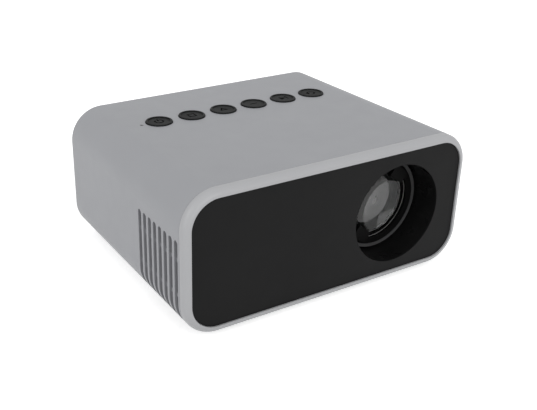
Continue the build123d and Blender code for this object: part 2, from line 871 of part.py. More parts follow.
with BuildPart() as focus_ring:
    with BuildSketch(facing(ring_front_y, lens_x, lens_z)):
        Circle(ring_radius)
    extrude(amount=-ring_length)
    # two finger lugs that reach over the edge of the glass
    for lug_turn in (lug_angle, lug_angle + 180):
        with BuildSketch(facing(lug_front_y, lens_x, lens_z)):
            with Locations(Rotation(0, 0, lug_turn)):
                with Locations(((lug_reach + ring_bore) / 2, 0)):
                    Rectangle(ring_bore - lug_reach, lug_width)
        extrude(amount=-(lug_proud + ring_face))
    with BuildSketch(facing(lug_front_y + lug_thickness, lens_x, lens_z)):
        Circle(ring_mouth)
    extrude(amount=-ring_length, mode=Mode.SUBTRACT)
    with BuildSketch(facing(ring_front_y + ring_face, lens_x, lens_z)):
        Circle(ring_bore)
    extrude(amount=-ring_length, mode=Mode.SUBTRACT)
    # groove that the guide screws run in
    with BuildSketch(facing(groove_y - groove_width / 2, lens_x, lens_z)):
        Circle(ring_radius + 1)
        Circle(ring_radius - groove_depth, mode=Mode.SUBTRACT)
    extrude(amount=-groove_width, mode=Mode.SUBTRACT)
    for cutter in cam_cutters:
        add(cutter, mode=Mode.SUBTRACT)
focus_ring.part.label = "focus_ring"
export_step(focus_ring.part, "parts/focus_ring.step")

# glass places, along Y, with the barrel at rest
front_seat_y = barrel_front_y + front_glass_edge
rear_lip_y = barrel_rear_y - rear_lip
rear_glass_y = rear_lip_y - rear_glass_edge
spacer_front_y = rear_glass_y - spacer_length
middle_glass_y = spacer_front_y - middle_glass_edge
pin_foot = barrel_bore + pin_foot_wall


def sag(curve, radius):
    """Depth of a spherical face at a radius from its apex."""
    return curve - math.copysign(math.sqrt(curve * curve - radius * radius), curve)


def glass_element(rim, lands, front_edge_y, front_curve, rear_edge_y, rear_curve):
    """Glass disc with a flat land at its rim, and a spherical face each side.

    A positive curve bulges outwards, a negative one is hollow.
    """
    front_clear = rim - lands[0]
    rear_clear = rim - lands[1]
    front_apex = front_edge_y - sag(front_curve, front_clear)
    rear_apex = rear_edge_y + sag(rear_curve, rear_clear)
    front_middle = front_apex + sag(front_curve, front_clear / 2)
    rear_middle = rear_apex - sag(rear_curve, rear_clear / 2)
    with BuildPart() as disc:
        with BuildSketch(lens_plane):
            with BuildLine():
                ThreePointArc((0, front_apex), (front_clear / 2, front_middle), (front_clear, front_edge_y))
                Polyline(
                    (front_clear, front_edge_y), (rim, front_edge_y), (rim, rear_edge_y), (rear_clear, rear_edge_y)
                )
                ThreePointArc((rear_clear, rear_edge_y), (rear_clear / 2, rear_middle), (0, rear_apex))
                Line((0, rear_apex), (0, front_apex))
            make_face()
        revolve(axis=lens_axis)
    return disc


with BuildPart() as lens_barrel:
    with BuildSketch(facing(barrel_front_y, lens_x, lens_z)):
        Circle(barrel_radius)
    extrude(amount=-barrel_length)
    with BuildSketch(facing(barrel_front_y, lens_x, lens_z)):
        Circle(barrel_bore - rear_lip_width)
    extrude(amount=-barrel_length, mode=Mode.SUBTRACT)
    with BuildSketch(facing(barrel_front_y, lens_x, lens_z)):
        Circle(barrel_bore)
    extrude(amount=-(barrel_length - rear_lip), mode=Mode.SUBTRACT)
    with BuildSketch(facing(barrel_front_y, lens_x, lens_z)):
        Circle(front_glass_radius + glass_gap)
    extrude(amount=-(front_seat_y - barrel_front_y), mode=Mode.SUBTRACT)
    for pin_angle in pin_angles:
        with BuildSketch(radial(pin_angle, pin_y).offset(pin_foot)):
            Circle(cam_pin_radius)
        extrude(amount=barrel_radius, mode=Mode.SUBTRACT)
lens_barrel.part.label = "lens_barrel"
export_step(lens_barrel.part, "parts/lens_barrel.step")

with BuildPart() as cam_pins:
    for pin_angle in pin_angles:
        with BuildSketch(radial(pin_angle, pin_y).offset(pin_foot)):
            Circle(cam_pin_radius)
        extrude(amount=pin_tip - pin_foot)
cam_pins.part.label = "cam_pins"
export_step(cam_pins.part, "parts/cam_pins.step")

inner_lands = (glass_land, glass_land)
front_lands = (front_glass_land, front_glass_rear_land)
front_glass = glass_element(
    front_glass_radius, front_lands, barrel_front_y, front_glass_curve, front_seat_y, front_glass_rear_curve
)
front_glass.part.label = "front_glass"
export_step(front_glass.part, "parts/front_glass.step")

inner_glass_radius = barrel_bore - glass_gap
middle_glass = glass_element(
    inner_glass_radius, inner_lands, middle_glass_y, -middle_glass_curve, spacer_front_y, -middle_glass_curve
)
middle_glass.part.label = "middle_glass"
export_step(middle_glass.part, "parts/middle_glass.step")

rear_glass = glass_element(
    inner_glass_radius, inner_lands, rear_glass_y, rear_glass_curve, rear_lip_y, rear_glass_rear_curve
)
rear_glass.part.label = "rear_glass"
export_step(rear_glass.part, "parts/rear_glass.step")

with BuildPart() as glass_spacer:
    with BuildSketch(facing(spacer_front_y, lens_x, lens_z)):
        Circle(inner_glass_radius)
        Circle(inner_glass_radius - spacer_wall, mode=Mode.SUBTRACT)
    extrude(amount=-spacer_length)
glass_spacer.part.label = "glass_spacer"
export_step(glass_spacer.part, "parts/glass_spacer.step")

# tube between the front and the middle glass, with the stop that bounds the beam
stop_front_y = front_seat_y + stop_gap
with BuildPart() as lens_stop:
    with BuildSketch(facing(stop_front_y, lens_x, lens_z)):
        Circle(inner_glass_radius)
    extrude(amount=-(middle_glass_y - stop_front_y))
    with BuildSketch(facing(stop_front_y, lens_x, lens_z)):
        Circle(inner_glass_radius - spacer_wall)
    extrude(amount=-stop_set_back, mode=Mode.SUBTRACT)
    with BuildSketch(facing(stop_front_y, lens_x, lens_z)):
        Circle(stop_radius)
    extrude(amount=-(middle_glass_y - stop_front_y), mode=Mode.SUBTRACT)
    with BuildSketch(facing(stop_front_y + stop_set_back + stop_thickness, lens_x, lens_z)):
        Circle(inner_glass_radius - spacer_wall)
    extrude(amount=-(middle_glass_y - stop_front_y), mode=Mode.SUBTRACT)
lens_stop.part.label = "lens_stop"
export_step(lens_stop.part, "parts/lens_stop.step")

# ---------------------------------------------------------------- light engine
mirror_offset = mirror_thickness * math.sqrt(2)
wall_offset = engine_wall * math.sqrt(2)
fold_sum = lens_x + engine_axis_y
engine_inner_low = engine_low_z + engine_wall
engine_inner_front = engine_front_y + engine_wall
engine_inner_rear = engine_rear_y - engine_wall
engine_inner_depth = engine_inner_rear - engine_inner_front
engine_inner_height = engine_lid_z - engine_inner_low
plate_depth = engine_inner_depth - 2 * fit_gap
plate_height = engine_inner_height - fit_gap
lamp_x = engine_left
plate_places = {
    "condenser": condenser_place,
    "heat_glass": heat_glass_place,
    "rear_fresnel": lcd_place - fresnel_step,
    "lcd": lcd_place,
    "front_fresnel": lcd_place + fresnel_step,
}
plate_thicknesses = {
    "condenser": condenser_holder_thickness,
    "heat_glass": heat_glass_thickness,
    "rear_fresnel": fresnel_thickness,
    "lcd": lcd_thickness,
    "front_fresnel": fresnel_thickness,
}
lamp_lead_x = engine_left + lamp_thickness + lamp_lead_step
lamp_lead_y = engine_axis_y + lamp_lead_offset
lid_screw_places = [
    (engine_left + lid_corner, engine_front_y + lid_corner),
    (engine_left + lid_corner, engine_rear_y - lid_corner),
    (engine_right - lid_corner, engine_front_y + lid_corner),
    (fold_sum - engine_rear_y + lid_cut_corner, engine_rear_y - lid_corner),
]


def engine_outline(inset, cut):
    """Plan of the engine: a rectangle with one corner cut at 45 degrees for the mirror."""
    left = engine_left + inset
    right = engine_right - inset
    low = engine_front_y + inset
    high = engine_rear_y - inset
    Polyline((left, low), (right, low), (right, cut - right), (cut - high, high), (left, high), close=True)


with BuildPart() as engine_case:
    with BuildSketch(level(engine_low_z)):
        with BuildLine():
            engine_outline(0, fold_sum + mirror_offset + wall_offset)
        make_face()
    extrude(amount=engine_height)
    with BuildSketch(level(engine_inner_low)):
        with BuildLine():
            engine_outline(engine_wall, fold_sum + mirror_offset)
        make_face()
    extrude(amount=engine_height, mode=Mode.SUBTRACT)
    # rails on both side walls, in front of and behind each plate
    for plate_name, plate_x in plate_places.items():
        guide_step = plate_thicknesses[plate_name] / 2 + fit_gap + rail_size / 2
        guide_inset = (rail_size - bite) / 2
        for guide_x in (plate_x - guide_step, plate_x + guide_step):
            for guide_y in (engine_inner_front + guide_inset, engine_inner_rear - guide_inset):
                with Locations((guide_x, guide_y, (engine_inner_low + engine_lid_z - bite) / 2)):
                    Box(rail_size, rail_size + bite, engine_inner_height + bite)
    # screw holes over the base cover's posts
    with BuildSketch(level(engine_low_z)):
        with Locations(post_places):
            Circle(screw_radius)
    extrude(amount=engine_wall, mode=Mode.SUBTRACT)
    # corner bosses for the lid screws
    with BuildSketch(level(engine_inner_low - bite)):
        with Locations(lid_screw_places):
            Circle(lid_boss_radius)
    extrude(amount=engine_inner_height + bite)
    with BuildSketch(level(engine_lid_z)):
        with Locations(lid_screw_places):
            Circle(screw_radius)
    extrude(amount=-lid_screw_length, mode=Mode.SUBTRACT)
    # mouth for the lamp, holes for the heat sink screws
    with BuildSketch(sideways(engine_left, engine_axis_y, lens_z)):
        Rectangle(lamp_mouth, lamp_mouth)
        with GridLocations(2 * sink_screw_y, 2 * sink_screw_z, 2, 2):
            Circle(screw_radius)
    extrude(amount=engine_wall, mode=Mode.SUBTRACT)
    # slot for the display ribbon
    with BuildSketch(facing(engine_rear_y, lcd_place, lens_z)):
        Rectangle(ribbon_slot, lcd_ribbon_width + ribbon_slot)
    extrude(amount=engine_wall, mode=Mode.SUBTRACT)
    # hole for the lens, holes for the flange screws
    with BuildSketch(facing(engine_front_y, lens_x, lens_z)):
        Circle(light_hole_radius)
        with GridLocations(2 * flange_screw_half, 2 * flange_screw_half, 2, 2):
            Circle(screw_radius)
    extrude(amount=-engine_wall, mode=Mode.SUBTRACT)
engine_case.part.label = "engine_case"
export_step(engine_case.part, "parts/engine_case.step")

with BuildPart() as engine_lid:
    with BuildSketch(level(engine_lid_z)):
        with BuildLine():
            engine_outline(0, fold_sum + mirror_offset + wall_offset)
        make_face()
        with Locations(lid_screw_places):
            Circle(screw_radius + fit_gap, mode=Mode.SUBTRACT)
        # hole for the lamp lead
        with Locations((lamp_lead_x + lid_hole_width / 4, lamp_lead_y + lid_hole_length / 3)):
            RectangleRounded(lid_hole_width, lid_hole_length, 1, mode=Mode.SUBTRACT)
    extrude(amount=engine_lid_thickness)
engine_lid.part.label = "engine_lid"
export_step(engine_lid.part, "parts/engine_lid.step")

# plates that slide between the rails, standing on the engine's floor
plate_labels = {
    "condenser": "condenser_holder",
    "heat_glass": "heat_glass",
    "rear_fresnel": "rear_fresnel",
    "lcd": "lcd_panel",
    "front_fresnel": "front_fresnel",
}
for plate_name, plate_label in plate_labels.items():
    thickness = plate_thicknesses[plate_name]
    with BuildPart() as plate:
        with BuildSketch(sideways(plate_places[plate_name] - thickness / 2, engine_axis_y, engine_inner_low)):
            with Locations((0, plate_height / 2)):
                Rectangle(plate_depth, plate_height)
            if plate_name == "condenser":
                with Locations((0, lens_z - engine_inner_low)):
                    Circle(condenser_hole, mode=Mode.SUBTRACT)
            for lid_y in (-1, 1):
                with Locations((lid_y * plate_depth / 2, plate_height)):
                    Rectangle(plate_notch, plate_notch, mode=Mode.SUBTRACT)
        extrude(amount=thickness)
    plate.part.label = plate_label
    export_step(plate.part, f"parts/{plate_label}.step")

condenser_x = plate_places["condenser"] - plate_thicknesses["condenser"] / 2
beam_plane = Plane(origin=(0, engine_axis_y, lens_z), x_dir=(0, 1, 0), z_dir=(0, 0, -1))
beam_axis = Axis((0, engine_axis_y, lens_z), (1, 0, 0))
condenser_rim_x = condenser_x - condenser_edge
condenser_apex_x = condenser_rim_x - sag(condenser_curve, condenser_radius)
with BuildPart() as condenser_lens:
    with BuildSketch(beam_plane):
        with BuildLine():
            ThreePointArc(
                (0, condenser_apex_x),
                (condenser_radius / 2, condenser_apex_x + sag(condenser_curve, condenser_radius / 2)),
                (condenser_radius, condenser_rim_x),
            )
            Line((condenser_radius, condenser_rim_x), (condenser_radius, condenser_x))
            Line((condenser_radius, condenser_x), (0, condenser_x))
            Line((0, condenser_x), (0, condenser_apex_x))
        make_face()
    revolve(axis=beam_axis)
condenser_lens.part.label = "condenser_lens"
export_step(condenser_lens.part, "parts/condenser_lens.step")

with BuildPart() as fold_mirror:
    with BuildSketch(Plane(origin=(lens_x, engine_axis_y, engine_inner_low), x_dir=(1, -1, 0))):
        with Locations((0, mirror_thickness / 2)):
            Rectangle(mirror_length, mirror_thickness)
    extrude(amount=plate_height)
fold_mirror.part.label = "fold_mirror"
export_step(fold_mirror.part, "parts/fold_mirror.step")

# ---------------------------------------------------------------- lamp and heat sink
with BuildPart() as lamp_board:
    with BuildSketch(sideways(engine_left, engine_axis_y, lens_z)):
        RectangleRounded(lamp_side, lamp_side, board_corner)
        with GridLocations(2 * lamp_screw_offset, 2 * lamp_screw_offset, 2, 2):
            Circle(screw_radius + fit_gap, mode=Mode.SUBTRACT)
    extrude(amount=lamp_thickness)
lamp_board.part.label = "lamp_board"
export_step(lamp_board.part, "parts/lamp_board.step")

with BuildPart() as lamp_emitter:
    with BuildSketch(sideways(engine_left + lamp_thickness, engine_axis_y, lens_z)):
        Circle(emitter_radius)
    extrude(amount=emitter_height)
    fillet(lamp_emitter.faces().sort_by(Axis.X)[-1].edges(), emitter_round)
lamp_emitter.part.label = "lamp_emitter"
export_step(lamp_emitter.part, "parts/lamp_emitter.step")

sink_height = engine_height + engine_lid_thickness
fin_pitch = (sink_height - fin_thickness) / (fin_count - 1)
with BuildPart() as heat_sink:
    with BuildSketch(sideways(engine_left - sink_base, engine_axis_y, lens_z)):
        Rectangle(engine_length, sink_height)
        with GridLocations(2 * lamp_screw_offset, 2 * lamp_screw_offset, 2, 2):
            Circle(screw_radius, mode=Mode.SUBTRACT)
        with GridLocations(2 * sink_screw_y, 2 * sink_screw_z, 2, 2):
            Circle(screw_radius, mode=Mode.SUBTRACT)
    extrude(amount=sink_base)
    with BuildSketch(sideways(engine_left - sink_base, engine_axis_y, lens_z)):
        with GridLocations(1, fin_pitch, 1, fin_count):
            Rectangle(engine_length, fin_thickness)
    extrude(amount=-fin_length)
heat_sink.part.label = "heat_sink"
export_step(heat_sink.part, "parts/heat_sink.step")

# ---------------------------------------------------------------- fan
fan_left = -side_x + filter_thickness + seat_gap
fan_right = fan_left + fan_depth
stator_left = fan_right - stator_thickness
hub_right = stator_left - hub_gap
hub_left = fan_left + hub_inset
bearing_left = hub_left + hub_wall + bearing_gap
arm_middle = (fan_opening + stator_radius) / 2
with BuildPart() as fan_frame:
    with BuildSketch(sideways(fan_left, fan_y, fan_z)):
        RectangleRounded(fan_side, fan_side, fan_corner)
        Circle(fan_opening, mode=Mode.SUBTRACT)
        with Locations(four_places(fan_side / 2 - fan_hole_inset, fan_side / 2 - fan_hole_inset)):
            Circle(fan_hole_radius, mode=Mode.SUBTRACT)
    extrude(amount=fan_depth)
    with BuildSketch(sideways(stator_left, fan_y, fan_z)):
        Circle(stator_radius)
        with PolarLocations(arm_middle, 3, start_angle=90):
            Rectangle(fan_opening - stator_radius + 2 * bite, fan_arm)
    extrude(amount=stator_thickness)
    with BuildSketch(sideways(bearing_left, fan_y, fan_z)):
        Circle(bearing_radius)
    extrude(amount=fan_right - bearing_left)
    with BuildSketch(sideways(bearing_left, fan_y, fan_z)):
        Circle(fan_shaft + run_gap)
    extrude(amount=fan_right - bearing_left, mode=Mode.SUBTRACT)
fan_frame.part.label = "fan_frame"
export_step(fan_frame.part, "parts/fan_frame.step")

with BuildPart() as fan_rotor:
    with BuildSketch(sideways(hub_left, fan_y, fan_z)):
        Circle(fan_hub)
    extrude(amount=hub_right - hub_left)
    with BuildSketch(sideways(hub_left + hub_wall, fan_y, fan_z)):
        Circle(fan_hub - hub_wall)
    extrude(amount=hub_right - hub_left, mode=Mode.SUBTRACT)
    with BuildSketch(sideways(hub_left, fan_y, fan_z)):
        Circle(fan_shaft)
    extrude(amount=fan_right - seat_gap - hub_left)
    blade_root = fan_hub - hub_wall / 2
    for blade in range(fan_blades):
        blade_turn = 2 * math.pi * blade / fan_blades
        outward = (0, math.cos(blade_turn), math.sin(blade_turn))
        blade_middle = ((hub_left + hub_right) / 2, fan_y, fan_z)
        with BuildSketch(Plane(origin=blade_middle, x_dir=(1, 0, 0), z_dir=outward).offset(blade_root)):
            Rectangle(blade_chord, blade_thickness, rotation=blade_pitch)
        extrude(amount=blade_reach - blade_root)
fan_rotor.part.label = "fan_rotor"
export_step(fan_rotor.part, "parts/fan_rotor.step")

# ---------------------------------------------------------------- loudspeaker, facing down
speaker_plane = Plane(origin=(speaker_x, speaker_y, floor_z), x_dir=(1, 0, 0), z_dir=(0, -1, 0))
speaker_axis = Axis((speaker_x, speaker_y, 0), (0, 0, 1))
pole_radius = coil_radius - coil_wall - coil_gap
basket_bore = speaker_radius - speaker_rim
cone_rim = basket_bore - cone_gap
basket_hole = coil_radius + coil_gap
cap_high = cone_high - cap_dip
with BuildPart() as speaker_basket:
    with BuildSketch(speaker_plane):
        with BuildLine():
            Polyline(
                (basket_bore, 0),
                (speaker_radius, 0),
                (speaker_radius, rim_height),
                (basket_bore + basket_wall, rim_height),
                (basket_bore + basket_wall, basket_height),
                (basket_hole, basket_height),
                (basket_hole, basket_height - basket_wall),
                (basket_bore, basket_height - basket_wall),
                close=True,
            )
        make_face()
    revolve(axis=speaker_axis)
    with BuildSketch(level(floor_z + rim_height + basket_wall, speaker_x, speaker_y)):
        Rectangle(2 * speaker_radius, basket_window_width)
        Rectangle(basket_window_width, 2 * speaker_radius)
    extrude(amount=basket_window_height, mode=Mode.SUBTRACT)
speaker_basket.part.label = "speaker_basket"
export_step(speaker_basket.part, "parts/speaker_basket.step")

with BuildPart() as speaker_magnet:
    with BuildSketch(level(floor_z + basket_height, speaker_x, speaker_y)):
        Circle(magnet_radius)
    extrude(amount=magnet_height)
    with BuildSketch(level(floor_z + basket_height, speaker_x, speaker_y)):
        Circle(basket_hole)
        Circle(pole_radius, mode=Mode.SUBTRACT)
    extrude(amount=magnet_height - magnet_back, mode=Mode.SUBTRACT)
speaker_magnet.part.label = "speaker_magnet"
export_step(speaker_magnet.part, "parts/speaker_magnet.step")

with BuildPart() as speaker_cone:
    with BuildSketch(speaker_plane):
        with BuildLine():
            Polyline(
                (cone_rim - cone_flat, cone_low),
                (cone_rim, cone_low),
                (cone_rim, cone_low + cone_thickness),
                (cone_rim - cone_flat, cone_low + cone_thickness),
                (coil_radius, cone_high + cone_thickness),
                (coil_radius, basket_height + coil_sunk),
                (coil_radius - coil_wall, basket_height + coil_sunk),
                (coil_radius - coil_wall, cone_high),
                (0, cap_high),
                (0, cap_high - cone_thickness),
                (coil_radius - coil_wall, cone_high - cone_thickness),
                close=True,
            )
        make_face()
    revolve(axis=speaker_axis)
speaker_cone.part.label = "speaker_cone"
export_step(speaker_cone.part, "parts/speaker_cone.step")

# ---------------------------------------------------------------- rear panel and ports
board_high = key_board_low - board_roof_gap
board_tall = board_high - board_low
power_jack_x = board_width / 2 - power_jack_inset
port_z = board_low + port_up
board_boss_x = board_width / 2 - board_boss_inset
board_boss_z = board_tall / 2 - board_boss_inset
board_mid_z = (board_low + board_high) / 2
panel_outer_y = rear_y - rear_inset
port_face_y = panel_outer_y - port_sunk
ir_z = bottom_z + ir_up
board_boss_places = four_places(board_boss_x, board_boss_z)
hdmi_half = hdmi_width / 2 - shell_wall
hdmi_rise = hdmi_height / 2 - shell_wall
tongue_front_y = board_rear_y + port_back / 2
with BuildPart() as rear_panel:
    rear_edge = wall + fit_gap
    with BuildSketch(facing(rear_panel_front_y, 0, mid_z)):
        RectangleRounded(body_width - 2 * rear_edge, body_height - 2 * rear_edge, body_corner - rear_edge)
    extrude(amount=-rear_thickness)
    chamfer(rear_panel.faces().sort_by(Axis.Y)[-1].edges(), rear_panel_chamfer)
    with BuildSketch(facing(rear_panel_front_y, 0, board_mid_z)):
        with Locations(board_boss_places):
            Circle(board_boss_radius)
    extrude(amount=board_gap)
    with BuildSketch(facing(board_rear_y, 0, board_mid_z)):
        with Locations(board_boss_places):
            Circle(screw_radius)
    extrude(amount=-board_gap, mode=Mode.SUBTRACT)
    with BuildSketch(facing(rear_panel_front_y)):
        with Locations((hdmi_x, port_z)):
            RectangleRounded(hdmi_width + 2 * port_gap, hdmi_height + 2 * port_gap, port_corner)
        with Locations((usb_x, port_z)):
            RectangleRounded(usb_width + 2 * port_gap, usb_height + 2 * port_gap, port_corner)
        with Locations((card_x, port_z)):
            RectangleRounded(card_width + 2 * port_gap, card_height + 2 * port_gap, port_corner)
        with Locations((power_jack_x, port_z)):
            Circle(power_jack_radius + port_gap)
        with Locations((av_x, port_z)):
            Circle(av_radius + port_gap)
        with Locations((ir_x, ir_z)):
            Circle(ir_radius + fit_gap)
        with Locations(rear_screw_places):
            Circle(screw_radius + fit_gap)
    extrude(amount=-rear_thickness, mode=Mode.SUBTRACT)
    with BuildSketch(facing(panel_outer_y)):
        with Locations(rear_screw_places):
            Circle(screw_head + fit_gap)
    extrude(amount=head_sink, mode=Mode.SUBTRACT)
rear_panel.part.label = "rear_panel"
export_step(rear_panel.part, "parts/rear_panel.step")

with BuildPart() as ir_window:
    with BuildSketch(facing(rear_panel_front_y, ir_x, ir_z)):
        Circle(ir_radius + ir_flange)
    extrude(amount=ir_flange_thickness)
    with BuildSketch(facing(rear_panel_front_y, ir_x, ir_z)):
        Circle(ir_radius)
    extrude(amount=-rear_thickness - ir_proud)
    fillet(ir_window.faces().sort_by(Axis.Y)[-1].edges(), ir_round)
ir_window.part.label = "ir_window"
export_step(ir_window.part, "parts/ir_window.step")

with BuildPart() as ir_receiver:
    with BuildSketch(facing(board_rear_y, ir_x, ir_z)):
        Rectangle(receiver_width, receiver_height)
    extrude(amount=-receiver_body)
    with BuildSketch(facing(board_rear_y + receiver_body, ir_x, ir_z)):
        Circle(receiver_dome_radius)
    extrude(amount=-receiver_dome)
ir_receiver.part.label = "ir_receiver"
export_step(ir_receiver.part, "parts/ir_receiver.step")

port_length = port_face_y - board_rear_y
with BuildPart() as hdmi_port:
    with BuildSketch(facing(board_rear_y, hdmi_x, port_z)):
        RectangleRounded(hdmi_width, hdmi_height, port_corner)
    extrude(amount=-port_length)
    with BuildSketch(facing(port_face_y, hdmi_x, port_z)):
        with BuildLine():
            Polyline(
                (-hdmi_half, hdmi_rise),
                (hdmi_half, hdmi_rise),
                (hdmi_half, hdmi_cut - hdmi_rise),
                (hdmi_half - hdmi_cut, -hdmi_rise),
                (hdmi_cut - hdmi_half, -hdmi_rise),
                (-hdmi_half, hdmi_cut - hdmi_rise),
                close=True,
            )
        make_face()
    extrude(amount=port_length - port_back, mode=Mode.SUBTRACT)
    with BuildSketch(facing(tongue_front_y, hdmi_x, port_z)):
        with Locations((0, hdmi_tongue_rise)):
            Rectangle(hdmi_tongue_width, hdmi_tongue_thickness)
    extrude(amount=-port_length + 2 * port_back)
hdmi_port.part.label = "hdmi_port"
export_step(hdmi_port.part, "parts/hdmi_port.step")

with BuildPart() as usb_port:
    with BuildSketch(facing(board_rear_y, usb_x, port_z)):
        RectangleRounded(usb_width, usb_height, port_corner)
    extrude(amount=-port_length)
    with BuildSketch(facing(port_face_y, usb_x, port_z)):
        Rectangle(usb_width - 2 * shell_wall, usb_height - 2 * shell_wall)
    extrude(amount=port_length - port_back, mode=Mode.SUBTRACT)
    with BuildSketch(facing(tongue_front_y, usb_x, port_z)):
        with Locations((0, usb_tongue_rise)):
            Rectangle(usb_tongue_width, usb_tongue_thickness)
    extrude(amount=-port_length + 2 * port_back)
usb_port.part.label = "usb_port"
export_step(usb_port.part, "parts/usb_port.step")

with BuildPart() as card_slot:
    with BuildSketch(facing(board_rear_y, card_x, port_z)):
        Rectangle(card_width, card_height)
    extrude(amount=-port_length)
    with BuildSketch(facing(port_face_y, card_x, port_z)):
        Rectangle(card_mouth_width, card_mouth_height)
    extrude(amount=port_length - port_back, mode=Mode.SUBTRACT)
card_slot.part.label = "card_slot"
export_step(card_slot.part, "parts/card_slot.step")

with BuildPart() as av_jack:
    with BuildSketch(facing(board_rear_y, av_x, port_z)):
        Circle(av_radius)
    extrude(amount=-port_length)
    with BuildSketch(facing(port_face_y, av_x, port_z)):
        Circle(av_bore)
    extrude(amount=port_length - port_back, mode=Mode.SUBTRACT)
av_jack.part.label = "av_jack"
export_step(av_jack.part, "parts/av_jack.step")

with BuildPart() as power_jack:
    with BuildSketch(facing(board_rear_y, power_jack_x, port_z)):
        Circle(power_jack_radius)
    extrude(amount=-port_length)
    with BuildSketch(facing(port_face_y, power_jack_x, port_z)):
        Circle(power_jack_bore)
    extrude(amount=port_length - port_back, mode=Mode.SUBTRACT)
    with BuildSketch(facing(tongue_front_y, power_jack_x, port_z)):
        Circle(power_pin_radius)
    extrude(amount=-port_length + port_back / 2 + power_pin_sunk)
power_jack.part.label = "power_jack"
export_step(power_jack.part, "parts/power_jack.step")

# ---------------------------------------------------------------- main board
with BuildPart() as main_board:
    with BuildSketch(facing(board_front_y, 0, board_mid_z)):
        RectangleRounded(board_width, board_tall, board_corner)
        with Locations(board_boss_places):
            Circle(screw_radius + fit_gap, mode=Mode.SUBTRACT)
    extrude(amount=-board_thickness)
main_board.part.label = "main_board"
export_step(main_board.part, "parts/main_board.step")

# chips on the front of the board, as place and size, and capacitors on its rear
chips = [
    ((board_width / 2 - 17.0, -2.0), (12.0, 12.0)),
    ((20.0, 2.0), (8.0, 10.0)),
    ((-12.0, -4.0), (5.0, 6.0)),
]
chip_height = 1.3
capacitor_places = [board_width / 2 - 12.0, board_width / 2 - 19.0, -24.0]
capacitor_radius = 2.5
capacitor_length = 6.8
capacitor_z = board_high - board_boss_inset - capacitor_radius
with BuildPart() as board_parts:
    with BuildSketch(facing(board_front_y, 0, board_mid_z)):
        for chip_place, chip_size in chips:
            with Locations(chip_place):
                Rectangle(*chip_size)
    extrude(amount=chip_height)
    with BuildSketch(facing(board_rear_y, 0, capacitor_z)):
        for capacitor_x in capacitor_places:
            with Locations((capacitor_x, 0)):
                Circle(capacitor_radius)
    extrude(amount=-capacitor_length)
board_parts.part.label = "board_parts"
export_step(board_parts.part, "parts/board_parts.step")

# sockets on the front of the main board
socket_size = 4.0
socket_height = 1.9
socket_step = 3.0
lead_y = board_front_y - socket_height / 2
fan_socket = (8.0 - board_width / 2, board_mid_z + socket_step)
speaker_socket = (12.0 - board_width / 2, board_mid_z - socket_step)
lamp_socket = (25.0 - board_width / 2, board_high - socket_size / 2)
ribbon_socket_height = 1.6
ribbon_socket_depth = 3.0
ribbon_socket_margin = 1.5
ribbon_y = board_front_y - ribbon_socket_height / 2
lcd_ribbon_end = lcd_place + lcd_ribbon_reach
with BuildPart() as board_sockets:
    with BuildSketch(facing(board_front_y)):
        with Locations(fan_socket, speaker_socket, lamp_socket):
            Rectangle(socket_size, socket_size)
    extrude(amount=socket_height)
    with BuildSketch(facing(board_front_y)):
        with Locations((lcd_ribbon_end + ribbon_socket_depth / 2, lens_z)):
            Rectangle(ribbon_socket_depth, lcd_ribbon_width + 2 * ribbon_socket_margin)
        with Locations((key_ribbon_x, board_high - ribbon_socket_depth / 2)):
            Rectangle(key_ribbon_width + 2 * ribbon_socket_margin, ribbon_socket_depth)
    extrude(amount=ribbon_socket_height)
board_sockets.part.label = "board_sockets"
export_step(board_sockets.part, "parts/board_sockets.step")


def bend_radii(points, largest=math.inf):
    """Radius at each inner corner: 0.45 of the shorter run over the tangent of half the turn, or less."""
    radii = []
    for before, corner, after in zip(points, points[1:], points[2:]):
        run_in = Vector(*corner) - Vector(*before)
        run_out = Vector(*after) - Vector(*corner)
        half_turn = math.radians(run_in.get_angle(run_out)) / 2
        radii.append(min(largest, 0.45 * min(run_in.length, run_out.length) / math.tan(half_turn)))
    return radii


# flat ribbons from the display and from the key board
lcd_edge_y = engine_axis_y + plate_depth / 2
key_ribbon_z = key_board_low - ribbon_thickness / 2
ribbon_end_gap = ribbon_thickness / 2 + skin_gap
lcd_ribbon = [
    (lcd_place, lcd_edge_y + ribbon_end_gap),
    (lcd_place, ribbon_y),
    (lcd_ribbon_end - ribbon_end_gap, ribbon_y),
]
key_ribbon = [
    (key_y + key_board_depth / 2 - key_ribbon_lap, key_ribbon_z),
    (ribbon_y, key_ribbon_z),
    (ribbon_y, board_high + ribbon_end_gap),
]
with BuildPart() as ribbons:
    with BuildSketch(level(lens_z - lcd_ribbon_width / 2)):
        with BuildLine():
            FilletPolyline(lcd_ribbon, radius=bend_radii(lcd_ribbon, lcd_ribbon_bend))
            offset(amount=ribbon_thickness / 2)
        make_face()
    extrude(amount=lcd_ribbon_width)
    with BuildSketch(sideways(key_ribbon_x - key_ribbon_width / 2)):
        with BuildLine():
            FilletPolyline(key_ribbon, radius=bend_radii(key_ribbon, key_ribbon_bend))
            offset(amount=ribbon_thickness / 2)
        make_face()
    extrude(amount=key_ribbon_width)
ribbons.part.label = "ribbons"
export_step(ribbons.part, "parts/ribbons.step")

